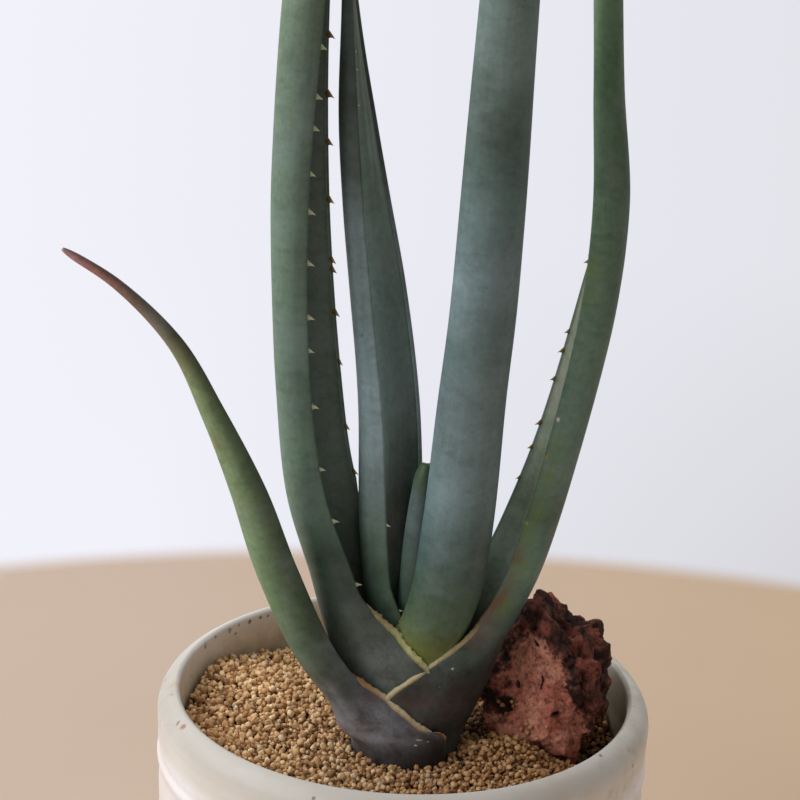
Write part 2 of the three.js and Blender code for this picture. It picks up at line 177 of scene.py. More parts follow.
class Finish:
    # a material with its node tree, built a node at a time
    def __init__(self, name, roughness=0.5, **sockets):
        self.material = bpy.data.materials.new(name)
        self.material.use_nodes = True
        self.tree = self.material.node_tree
        self.skin = self.tree.nodes["Principled BSDF"]
        self.skin.inputs["Roughness"].default_value = roughness
        for socket, value in sockets.items():
            self.skin.inputs[socket.replace("_", " ")].default_value = value
        self.count = 0

    def node(self, kind, settings=None, **inputs):
        made = self.tree.nodes.new("ShaderNode" + kind)
        made.location = (-1400 + 180 * (self.count % 7), 500 - 230 * (self.count // 7))
        self.count += 1
        for key, value in (settings or {}).items():
            setattr(made, key, value)
        for key, value in inputs.items():
            self.feed(made.inputs[key.replace("_", " ")], value)
        return made

    def feed(self, socket, value):
        if isinstance(value, bpy.types.NodeSocket):
            self.tree.links.new(value, socket)
        elif isinstance(value, bpy.types.Node):
            self.tree.links.new(value.outputs[0], socket)
        else:
            socket.default_value = value

    def ramp(self, source, stops):
        made = self.node("ValToRGB")
        self.feed(made.inputs[0], source)
        elements = made.color_ramp.elements
        while len(elements) < len(stops):
            elements.new(0.5)
        for element, (place, colour) in zip(elements, stops):
            element.position = place
            element.color = colour if len(colour) == 4 else (*colour, 1)
        return made.outputs[0]

    def range(self, source, low, high, toLow=0.0, toHigh=1.0):
        made = self.node("MapRange", {"interpolation_type": "SMOOTHSTEP"})
        self.feed(made.inputs["Value"], source)
        for key, value in (("From Min", low), ("From Max", high), ("To Min", toLow), ("To Max", toHigh)):
            made.inputs[key].default_value = value
        return made.outputs[0]

    def blend(self, factor, first, second, how="MIX"):
        made = self.node("Mix", {"data_type": "RGBA", "blend_type": how})
        self.feed(made.inputs["Factor"], factor)
        self.feed(made.inputs["A"], first)
        self.feed(made.inputs["B"], second)
        return made.outputs["Result"]

    def stained(self, base, mask, amount, colour):
        # another colour over the base, where both the mask and the amount are high
        return self.blend(self.maths("MULTIPLY", mask, amount), base, tone(*colour))

    def maths(self, how, first, second=0.0):
        made = self.node("Math", {"operation": how})
        self.feed(made.inputs[0], first)
        self.feed(made.inputs[1], second)
        return made.outputs[0]

    def cloud(self, scale, detail=4.0, roughness=0.5, vector=None, distortion=0.0):
        made = self.node("TexNoise", Scale=scale, Detail=detail, Roughness=roughness, Distortion=distortion)
        self.feed(made.inputs["Vector"], vector if vector is not None else self.place())
        return made.outputs["Fac"]

    def dots(self, spots):
        # ragged round marks at places on the skin: (mm along, share across, radius in mm)
        if not hasattr(self, "skinPlace"):
            flatMap = self.node("Mapping", Vector=self.growthMap, Scale=(skinWidth, growthStep, 0))
            shake = self.node("TexNoise", Vector=self.place(), Scale=900.0, Detail=2.0)
            self.skinPlace = self.node("VectorMath", {"operation": "ADD"}).outputs[0]
            self.feed(self.skinPlace.node.inputs[0], flatMap)
            self.feed(self.skinPlace.node.inputs[1], shake.outputs["Color"])
        total = 0.0
        for along, across, radius in spots:
            away = self.distance(self.skinPlace, (across * skinWidth, along, 0))
            total = self.maths("MAXIMUM", self.range(away, radius * 0.95, radius * 0.5), total)
        return total

    def shaded(self, factor, colour, amount):
        # multiplies a colour by red, green and blue amounts where the factor is 1
        return self.blend(factor, colour, self.blend(1.0, colour, (*amount, 1), "MULTIPLY"))

    def mottled(self, source, colour, high, lighter, low, darker):
        # high and low: where the change starts, where it is full, and how strong it is
        colour = self.shaded(self.range(source, *high[:2], 0, high[2]), colour, lighter)
        return self.shaded(self.range(source, *low[:2], 0, low[2]), colour, darker)

    def cells(self, scale):
        return self.node("TexVoronoi", Vector=self.place(), Scale=scale)

    def distance(self, vector, place):
        made = self.node("VectorMath", {"operation": "DISTANCE"})
        self.feed(made.inputs[0], vector)
        self.feed(made.inputs[1], place)
        return made.outputs["Value"]

    def flipped(self, source):
        return self.maths("SUBTRACT", 1.0, source)

    def place(self):
        if not hasattr(self, "objectPlace"):
            self.objectPlace = self.node("TexCoord").outputs["Object"]
        return self.objectPlace

    def tint(self, channel):
        if not hasattr(self, "tintParts"):
            self.tintSource = self.node("Attribute", {"attribute_name": "tints"})
            self.tintParts = self.node("SeparateColor", Color=self.tintSource.outputs["Color"])
        return (self.tintSource if channel == "Alpha" else self.tintParts).outputs[channel]

    def growth(self, channel):
        if not hasattr(self, "growthParts"):
            self.growthMap = self.node("UVMap", {"uv_map": "growth"})
            self.growthParts = self.node("SeparateXYZ", Vector=self.growthMap)
        return self.growthParts.outputs[channel]

    def relief(self, height, strength, distance, under=None):
        made = self.node("Bump", Height=height, Strength=strength, Distance=distance)
        if under is not None:
            self.feed(made.inputs["Normal"], under)
        return made.outputs["Normal"]

    def finish(self, colour, normal=None, roughness=None):
        self.feed(self.skin.inputs["Base Color"], colour)
        if normal is not None:
            self.feed(self.skin.inputs["Normal"], normal)
        if roughness is not None:
            self.feed(self.skin.inputs["Roughness"], roughness)
        return self.material


# the camera has a long lens, looks down 19.4 degrees and is rolled a little

camera = {"lens": 112.5, "sensor": 36, "place": (-4.9, -690.4, rimTop + 334.8), "down": 19.41, "roll": 2.39}


def makeCamera():
    data = bpy.data.cameras.new("photoCamera")
    data.lens = camera["lens"]
    data.sensor_width = camera["sensor"]
    data.clip_start, data.clip_end = 0.05, 20
    rig = linked("photoCamera", data)
    down, roll = math.radians(camera["down"]), math.radians(camera["roll"])
    forward = Vector((0, math.cos(down), -math.sin(down)))
    plainUp = Vector((0, math.sin(down), math.cos(down)))
    right = Vector((math.cos(roll), 0, 0)) + plainUp * math.sin(roll)
    up = plainUp * math.cos(roll) - Vector((math.sin(roll), 0, 0))
    rig.matrix_world = Matrix.LocRotScale(
        Vector(camera["place"]) * mm, Matrix((right, up, -forward)).transposed(), None)
    bpy.context.scene.camera = rig


makeCamera()
say("camera")

# each leaf is a tube, open on one side, that clasps the stem and spreads into a channelled blade

# Oldest first. Lists without distances are spaced evenly from the foot to the tip; axis points are in mm
# from the pot's axis and rim; an angle is half of the tube that is left; filling is the blade's thickness
# as a share of its radius; distances are in mm from the foot. teeth: for an edge, -1 or 1, their look, size
# and places, and above teethAbove they come at random; margin: where the pale border starts, begins to
# fade and ends.
leaves = {
    "lowLeft": {
        "node": "leaf_low_left",
        "axis": [(1, -9, -28), (1, -9, -12), (-6, -10.5, -5), (-10, -13, 0), (-25.5, -17.5, 19.5),
                 (-37.8, -20, 45), (-46.8, -24, 71), (-57.1, -27, 95), (-67.3, -31, 116), (-83.1, -35, 133.7),
                 (-98.7, -38, 144.7)],
        "claspRadius": 16.8, "claspLength": (12.8, 48.3), "claspAngle": 133,
        "bladeRadius": [6.1, 8.4, 7.7, 6.4, 4, 2.2, 1.2],
        "filling": [0.66, 1.1, 1.3, 1.3],
        "facing": [-181, -166, -144, -138, -132],
        "teeth": {},
        "margin": (25, 43, 52), "marginWidth": 2.0,
        "border": {"under": (150, 116, 96), "thick": 0.42, "saw": 0.22,
                   "along": [(25, (176, 160, 130)), (38, (196, 184, 146)), (43, (176, 140, 94)),
                             (50, (130, 92, 62))]},
    },
    "right": {
        "node": "leaf_right",
        "axis": [(1, -9, -24), (3, -9, -12), (10, -9, 5), (15.8, -8.5, 16), (21.8, -6.5, 28), (28.9, -4, 42),
                 (35.1, -1.5, 60), (42.4, 1, 88), (49, 3, 122), (52.3, 4, 154), (50.3, 5, 186),
                 (47.4, 6, 230), (45, 6, 296)],
        "claspRadius": 14.6, "claspLength": (21.4, 53.4), "claspAngle": 141,
        "bladeRadius": [11.2, 10.6, 8.8, 7.6, 4.5, 4, 2.2],
        "filling": [0.66, 0.8, 1.3, 1.4, 1.4],
        "facing": [1, 21, 9, -5, -56, -85, -85],
        "teeth": {-1: ("bump", 0.5, [90, 110]), 1: ("dark", 1.15, [98, 108, 116, 130, 139, 145])},
        "teethAbove": 166,
        "margin": (14, 50, 66), "marginWidth": 1.9,
        "border": {"under": (160, 136, 104), "thick": 0.4, "saw": 0.14,
                   "along": [(14, (178, 164, 126)), (40, (198, 186, 148)), (49, (170, 150, 112)),
                             (56, (120, 96, 70))]},
    },
    "tallLeft": {
        "node": "leaf_tall_left",
        "axis": [(1, -9, -18), (0, -9, -4), (-7, -8.3, 10), (-11.8, -7, 22), (-17.5, -5.5, 41), (-26, -3, 65),
                 (-30.8, 0, 96), (-34.4, 2, 150), (-33.6, 3, 207), (-30.1, 4, 260), (-25, 5, 330)],
        "claspRadius": 12.5, "claspLength": (24.5, 59.6), "claspAngle": 147, "bladeAngle": 114.3,
        "bladeRadius": [12.2, 12.5, 10.8, 9.8, 8.8, 6.9, 3.2],
        "filling": [0.66, 0.7, 0.85, 1],
        "facing": [163.9, 160.5, 154.3, 162.9, 177.4, 177.5, 182],
        "teeth": {-1: ("dark", 1.4, [89, 104, 124, 139, 152, 155, 173, 190, 204, 221]),
                  1: ("pale", 1.15, [60, 80, 96, 115, 132, 142, 158, 173, 184, 197, 206, 220])},
        "teethAbove": 236,
        "margin": (12, 48, 56), "marginWidth": 2.1,
        "border": {"under": (142, 142, 92), "thick": 0.42, "saw": 0.4,
                   "along": [(12, (196, 192, 140)), (44, (200, 196, 146)), (50, (150, 130, 100))]},
    },
    "front": {
        "node": "leaf_front",
        "axis": [(1, -9, -12), (2, -9.3, 8), (5, -10, 20), (8.6, -11.8, 31), (11, -13.5, 41), (13.6, -16, 66),
                 (15.3, -17, 98), (17.2, -18, 128), (19, -18, 190), (21, -18, 260), (24, -17, 338)],
        "claspRadius": 10.4, "claspLength": (15.8, 39.6), "claspAngle": 125,
        "bladeRadius": [11.3, 11, 10.2, 9.7, 8.6, 6.6, 3.2],
        "filling": [0.66, 0.7, 0.85, 1],
        "facing": [-20.6, -47.4, -44.2, -39.8, -38, -36],
        "teeth": {-1: ("bump", 0.5, [76, 83, 104, 108, 124, 163, 181, 196]),
                  1: ("pale", 0.9, [90, 104, 121, 139, 158, 178, 193])},
        "teethAbove": 212,
        "margin": (16, 72, 84), "marginWidth": 1.2,
        "border": {"under": (112, 122, 84), "thick": 0.38, "saw": 0.5,
                   "along": [(16, (150, 150, 96)), (36, (160, 162, 118)), (60, (150, 156, 134)),
                             (80, (112, 122, 108))]},
    },
    "back": {
        "node": "leaf_back",
        "axis": [(1, -9, -6), (0.5, -8, 8), (-2, -5, 24), (-5, -1, 50), (-7.5, 3, 88), (-12, 5, 122),
                 (-16.5, 6, 150), (-20.5, 6, 180), (-24, 6, 216)],
        "claspRadius": 8.6, "claspLength": (15, 45), "claspAngle": 150,
        "bladeRadius": [9.6, 10.6, 9.9, 8.6, 6.2, 2.2],
        "filling": [0.7, 1.2, 1.4, 1.4],
        "facing": [140, 145, 142, 141, 152, 162],
        "teeth": {1: ("pale", 0.8, [36, 62, 187, 197, 202])},
        "margin": (10, 26, 36), "marginWidth": 0.9,
        "border": {"under": (90, 96, 64), "thick": 0.4, "saw": 0.3,
                   "along": [(10, (140, 136, 90)), (30, (90, 98, 70))]},
    },
    "young": {
        "node": "leaf_young",
        "axis": [(1, -9, 0), (1.5, -9, 14), (2, -8.5, 34), (2.5, -8.5, 54), (4, -8.5, 76)],
        "claspRadius": 5.2, "claspLength": (8, 30), "claspAngle": 150,
        "bladeRadius": [5.2, 5.2, 4.6, 3.4],
        "filling": [0.7, 0.9, 1],
        "facing": [-70, -75, -78],
        "teeth": {-1: ("bump", 0.4, [64, 71]), 1: ("bump", 0.4, [66, 72])},
        "margin": (6, 16, 24), "marginWidth": 0.7,
        "border": {"under": (100, 108, 74), "thick": 0.4, "saw": 0.3,
                   "along": [(6, (140, 140, 100)), (20, (90, 104, 76))]},
    },
}
teeth = {
    # colours of the root, middle and tip
    "looks": {"pale": ((116, 134, 112), (176, 184, 152), (216, 214, 184)),
              "dark": ((62, 70, 56), (134, 110, 70), (206, 196, 160)),
              "bump": ((84, 98, 80), (126, 122, 98), (150, 138, 110))},
    # rise over the edge, half width along and across it, hook, in mm
    "rows": [(-0.3, 1.5, 0.4, 0.15), (-0.1, 1.34, 0.46, 0.1), (0.35, 0.88, 0.4, 0), (0.85, 0.56, 0.29, -0.14),
             (1.35, 0.3, 0.19, -0.34), (1.8, 0.12, 0.1, -0.58), (2.05, 0.03, 0.03, -0.74)],
    "sides": 8, "sizes": (0.85, 1.08), "gaps": (11, 19), "bareTip": 9,
}
blade = {
    "angle": 112, "holdFrom": math.pi / 7, "holdOver": math.pi / 2,
    "claspThickness": 1.9, "edgeThickness": 1.2,
    "lipRounding": 0.8, "lipTurns": (40, 90, 140),
    "tipLength": 7, "tipShares": (1, 0.8, 0.6, 0.42, 0.27, 0.16, 0.09),
    "outsideSteps": 32, "insideSteps": 20, "ringGap": 2.2,
    "waviness": 0.22,
    "wrapGap": 0.15, "wrapReach": 25, "coreReach": 30,  # between leaves; mm past the clasp that it matters
}
borderRod = {"step": 0.35, "sides": 10, "gaps": (0.8, 2.0), "cuts": (0.3, 1.0), "halves": (0.35, 0.75)}
# the dried, curled strip below the oldest leaf's pale border
driedStrip = {"start": 25.6, "end": 17.2, "rows": 26, "columns": 5, "width": 1.5, "half": 0.11,
              "inner": (150, 92, 52), "outer": (196, 156, 118)}


def leafRoute(axis, divisions=400):
    # centripetal spline through the axis points, and the length at each of its divisions
    points = [Vector((x, y, z + rimTop)) for x, y, z in axis]
    padded = [2 * points[0] - points[1]] + points + [2 * points[-1] - points[-2]]
    spans = len(points) - 1
    route = []
    for n in range(divisions + 1):
        place = n / divisions * spans
        i = min(int(place), spans - 1)
        w = place - i
        p0, p1, p2, p3 = padded[i:i + 4]
        d0, d1, d2 = (math.sqrt((b - a).length) for a, b in ((p0, p1), (p1, p2), (p2, p3)))
        t1 = ((p1 - p0) / d0 - (p2 - p0) / (d0 + d1) + (p2 - p1) / d1) * d1
        t2 = ((p2 - p1) / d1 - (p3 - p1) / (d1 + d2) + (p3 - p2) / d2) * d1
        c2, c3 = 3 * (p2 - p1) - 2 * t1 - t2, 2 * (p1 - p2) + t1 + t2
        route.append(p1 + t1 * w + c2 * w * w + c3 * w ** 3)
    lengths = [0.0]
    for a, b in zip(route, route[1:]):
        lengths.append(lengths[-1] + (b - a).length)
    return np.array([tuple(p) for p in route]), np.array(lengths)


def leafSection(leaf, distance):
    # centre, directions and sizes of the leaf's section at a distance from its foot
    route, lengths = leaf["route"]
    total = lengths[-1]

    def at(place):
        return Vector([np.interp(place, lengths, route[:, k]) for k in range(3)])

    straight, spread = leaf["claspLength"]
    clasp = 1 - smooth((distance - straight) / (spread - straight))
    ahead = (at(min(distance + 0.9, total)) - at(max(distance - 0.9, 0))).normalized()
    heading = (ahead * (1 - clasp) + Vector((0, 0, 1)) * clasp).normalized()
    turn = math.radians(valueAlong(leaf["facing"], distance / total))
    back = Vector((math.cos(turn), math.sin(turn), 0))
    back = (back - heading * back.dot(heading)).normalized()
    toTip = min((total - distance) / blade["tipLength"], 1)
    rounding = math.sqrt(max(1 - (1 - toTip) ** 2, 0))
    radius = valueAlong(leaf["bladeRadius"], distance / total) * rounding
    return {
        "centre": at(distance), "heading": heading, "back": back, "side": heading.cross(back),
        "clasp": clasp, "rounding": rounding, "radius": mix(radius, leaf["claspRadius"], clasp),
        "filling": valueAlong(leaf["filling"], distance / total),
        "halfAngle": math.radians(mix(leaf.get("bladeAngle", blade["angle"]), leaf["claspAngle"], clasp)),
    }


def sectionPoint(section, angle, outward, sideways):
    # a leaf's back leaves the stem first, while its edges still hold round it
    hold = section["clasp"] * smooth((abs(angle) - blade["holdFrom"]) / blade["holdOver"])
    stem = Vector((plantX, plantY, section["centre"].z))
    return section["centre"].lerp(stem, hold) + section["back"] * outward + section["side"] * sideways


def keepOutside(point, younger, gap):
    # an outer leaf wraps round the younger leaves inside it and never runs into them
    for other in younger:
        heights, starts, ends, radii = other["core"]
        if not heights[0] < point.z < heights[-1]:
            continue
        a = Vector([np.interp(point.z, heights, starts[:, k]) for k in range(2)])
        b = Vector([np.interp(point.z, heights, ends[:, k]) for k in range(2)])
        radius = np.interp(point.z, heights, radii) + gap
        flat = Vector((point.x, point.y))
        span = b - a
        share = min(max((flat - a).dot(span) / max(span.length_squared, 1e-9), 0), 1)
        nearest = a + span * share
        away = flat - nearest
        if 1e-6 < away.length < radius:
            moved = nearest + away * (radius / away.length)
            point = Vector((moved.x, moved.y, point.z))
    return point


def ringPoints(leaf, distance, younger):
    # one loop: the outside from edge to edge, a rounded lip, then the inside back again
    s = leafSection(leaf, distance)
    radius, clasp = s["radius"], s["clasp"]
    edge = blade["edgeThickness"] * s["rounding"]
    thick = blade["claspThickness"] * s["rounding"]
    gap = blade["wrapGap"]
    held = younger if distance < leaf["claspLength"][1] + blade["wrapReach"] else []
    outside, inside = [], []
    for q in stepsAcross(blade["outsideSteps"]):
        angle, wall = q * s["halfAngle"], mix(edge, thick, 1 - q * q)
        point = sectionPoint(s, angle, radius * math.cos(angle), radius * math.sin(angle))
        outside.append(keepOutside(point, held, gap + wall))
    lip = (radius - edge) * math.cos(s["halfAngle"])
    for q in stepsAcross(blade["insideSteps"]):
        angle, wall = q * s["halfAngle"], mix(edge, thick, 1 - q * q)
        bladeOut = mix(radius * (1 - s["filling"]), lip, abs(q) ** 2.4)
        bladeSide = (radius - edge) * math.sin(s["halfAngle"]) * q
        point = sectionPoint(s, angle, mix(bladeOut, (radius - wall) * math.cos(angle), clasp),
                             mix(bladeSide, (radius - wall) * math.sin(angle), clasp))
        inside.append(keepOutside(point, held, gap))
    return s, outside, inside


def lipPoints(section, outer, inner, hand):
    # the rounded edge between the outside and the inside, three points
    turn = section["halfAngle"]
    ahead = section["side"] * math.cos(turn) * hand - section["back"] * math.sin(turn)
    middle, arm = outer.lerp(inner, 0.5), (outer - inner) / 2
    reach = ahead * arm.length * blade["lipRounding"]
    turns = [math.radians(t) for t in blade["lipTurns"]]
    return [middle + arm * math.cos(t) + reach * math.sin(t) for t in turns]


def leafMesh(leaf, younger, seed):
    leaf["route"] = leafRoute(leaf["axis"])
    total = leaf["route"][1][-1]
    tip = total - blade["tipLength"]
    count = int(tip / blade["ringGap"])
    distances = [tip * i / count for i in range(count)]
    distances += [total - blade["tipLength"] * share for share in blade["tipShares"]]
    points, uvs, rings = [], [], []
    for distance in distances:
        section, outside, inside = ringPoints(leaf, distance, younger)
        rings.append((distance, section, outside, inside))
        across = []
        # the skin is never quite even
        uneven = blade["waviness"] * section["rounding"] * min(section["radius"] / 8, 1)
        for q, point in zip(stepsAcross(blade["outsideSteps"]), outside):
            wave = noise.noise(Vector((point.x * 0.05, point.y * 0.05, point.z * 0.03 + seed)))
            ridge = noise.noise(Vector((q * 5.5, distance * 0.006, seed + 4)))
            angle = q * section["halfAngle"]
            outward = section["back"] * math.cos(angle) + section["side"] * math.sin(angle)
            points.append(point - outward * uneven * (0.6 + wave * 0.8 + ridge * 0.7) * (1 - abs(q) ** 6))
            across.append(0.5 + 0.5 * q)
        points += lipPoints(section, outside[-1], inside[-1], 1)
        across += [1.0] * len(blade["lipTurns"])
        for q, point in reversed(list(zip(stepsAcross(blade["insideSteps"]), inside))):
            wave = noise.noise(Vector((q * 4, distance * 0.02, seed + 9)))
            amount = uneven * wave * 0.8 * (1 - abs(q) ** 4) * (1 - section["clasp"])
            points.append(point + section["back"] * amount)
            across.append(1.5 + 0.5 * q)
        points += reversed(lipPoints(section, outside[0], inside[0], -1))
        across += [0.0] * len(blade["lipTurns"])
        uvs += [(share, distance / growthStep) for share in across]
    return points, tubeFaces(len(distances), len(points) // len(distances)), uvs, rings


def leafCore(leaf, rings):
    # the room that a leaf takes round the stem, for the older leaves to wrap round
    rows = []
    for distance, s, _, _ in rings:
        if distance > leaf["claspLength"][1] + blade["coreReach"]:
            break
        stem = Vector((plantX, plantY, s["centre"].z))
        held = s["centre"].lerp(stem, s["clasp"])
        rows.append((s["centre"].z, tuple(s["centre"].xy), tuple(held.xy), s["radius"]))
    rows.sort()
    return tuple(np.array(column) for column in zip(*rows))


def edgeFrame(rings, distance, hand):
    # where the leaf's edge is at a distance, and which way is out, up along it, and across it
    places = np.array([r[0] for r in rings])
    i = int(min(max(np.searchsorted(places, distance) - 1, 0), len(rings) - 2))
    w = min(max((distance - places[i]) / (places[i + 1] - places[i]), 0), 1)

    def pick(ring, k):
        return ring[2][-1 - k] if hand > 0 else ring[2][k]

    def lip(ring):
        return (pick(ring, 0) + (ring[3][-1] if hand > 0 else ring[3][0])) / 2

    edge = lip(rings[i]).lerp(lip(rings[i + 1]), w)
    inner = pick(rings[i], 2).lerp(pick(rings[i + 1], 2), w)
    forward = (lip(rings[i + 1]) - lip(rings[i])).normalized()
    out = edge - inner
    out = (out - forward * out.dot(forward)).normalized()
    return edge, out, forward, forward.cross(out).normalized()


def marginStrip(leaf, rings, hand, seed):
    # the pale, finely toothed border: a flattened rod along the edge, cut in and out at random
    start, full, end = leaf["margin"]
    rng = random.Random(seed)
    bumps, place = [], start
    while place < end:
        place += rng.uniform(*borderRod["gaps"])
        bumps.append((place, rng.uniform(*borderRod["cuts"]), rng.uniform(*borderRod["halves"])))
    border, sides = leaf["border"], borderRod["sides"]
    points, uvs, tints = [], [], []
    count = int((end - start) / borderRod["step"])
    for n in range(count + 1):
        distance = start + (end - start) * n / count
        edge, out, forward, across = edgeFrame(rings, distance, hand)
        fade = smooth((distance - start) / 3) * (1 - smooth((distance - full) / (end - full)))
        saw = max((tall * max(1 - abs(distance - p - 0.3) / half, 0) for p, tall, half in bumps), default=0)
        size = leaf["marginWidth"] * (0.2 + 0.8 * fade)
        uneven = 1 + 0.25 * noise.noise(Vector((distance * 0.3, seed, 0)))
        wander = 0.3 * noise.noise(Vector((distance * 0.15, seed + 3, 1.5)))
        middle = toneAlong(border["along"], distance)
        for k in range(sides):
            turn = 2 * math.pi * k / sides
            reach, lift = math.cos(turn), math.sin(turn)
            outward = reach * 0.5 + 0.12 + max(reach, 0) * saw * border["saw"]
            rise = lift * size * border["thick"] * (1 - 0.3 * max(reach, 0)) + wander * 0.3
            points.append(edge + out * outward * size * uneven + across * rise)
            uvs.append((0.5 + 0.5 * reach, distance / growthStep))
            tints.append((*mixTones(border["under"], middle, smooth(0.75 + reach)), 1))
    return points, tubeFaces(count + 1, sides), uvs, tints


def toothPoints(rings, distance, hand, size, rng, looks):
    # one hooked tooth, its wide root sunk into the edge and coloured like the skin
    edge, out, forward, across = edgeFrame(rings, distance, hand)
    rows, sides, points, uvs, tints = teeth["rows"], teeth["sides"], [], [], []
    lean = rng.uniform(-0.25, 0.2)
    root, middle, tip = looks
    for rise, along, wide, hook in rows:
        centre = edge + out * rise * size + forward * (hook + lean * max(rise, 0) * 0.3) * size
        if rise < 0.7:
            colour = mixTones(root, middle, smooth((rise + 0.1) / 0.8))
        else:
            colour = mixTones(middle, tip, smooth((rise - 0.7) / 0.9))
        for k in range(sides):
            turn = 2 * math.pi * k / sides
            aside = across * (math.sin(turn) * wide * size)
            points.append(centre + forward * (math.cos(turn) * along * size) + aside)
            uvs.append((0.5, max(rise, 0) / rows[-1][0]))
            tints.append((*colour, 1))
    return points, tubeFaces(len(rows), sides), uvs, tints


def leafTeeth(leaf, rings, seed):
    rng = random.Random(seed)
    total = leaf["route"][1][-1]
    made = []
    for hand, (look, scale, places) in leaf["teeth"].items():
        places = list(places)
        if "teethAbove" in leaf:
            place = leaf["teethAbove"] + rng.uniform(0, 8)
            while place < total - teeth["bareTip"]:
                places.append(place)
                place += rng.uniform(*teeth["gaps"])
        for place in places:
            smaller = mix(1, 0.6, smooth((place / total - 0.6) / 0.4))  # towards the tip
            size = rng.uniform(*teeth["sizes"]) * smaller * scale
            made.append(toothPoints(rings, place, hand, size, rng, teeth["looks"][look]))
    return made


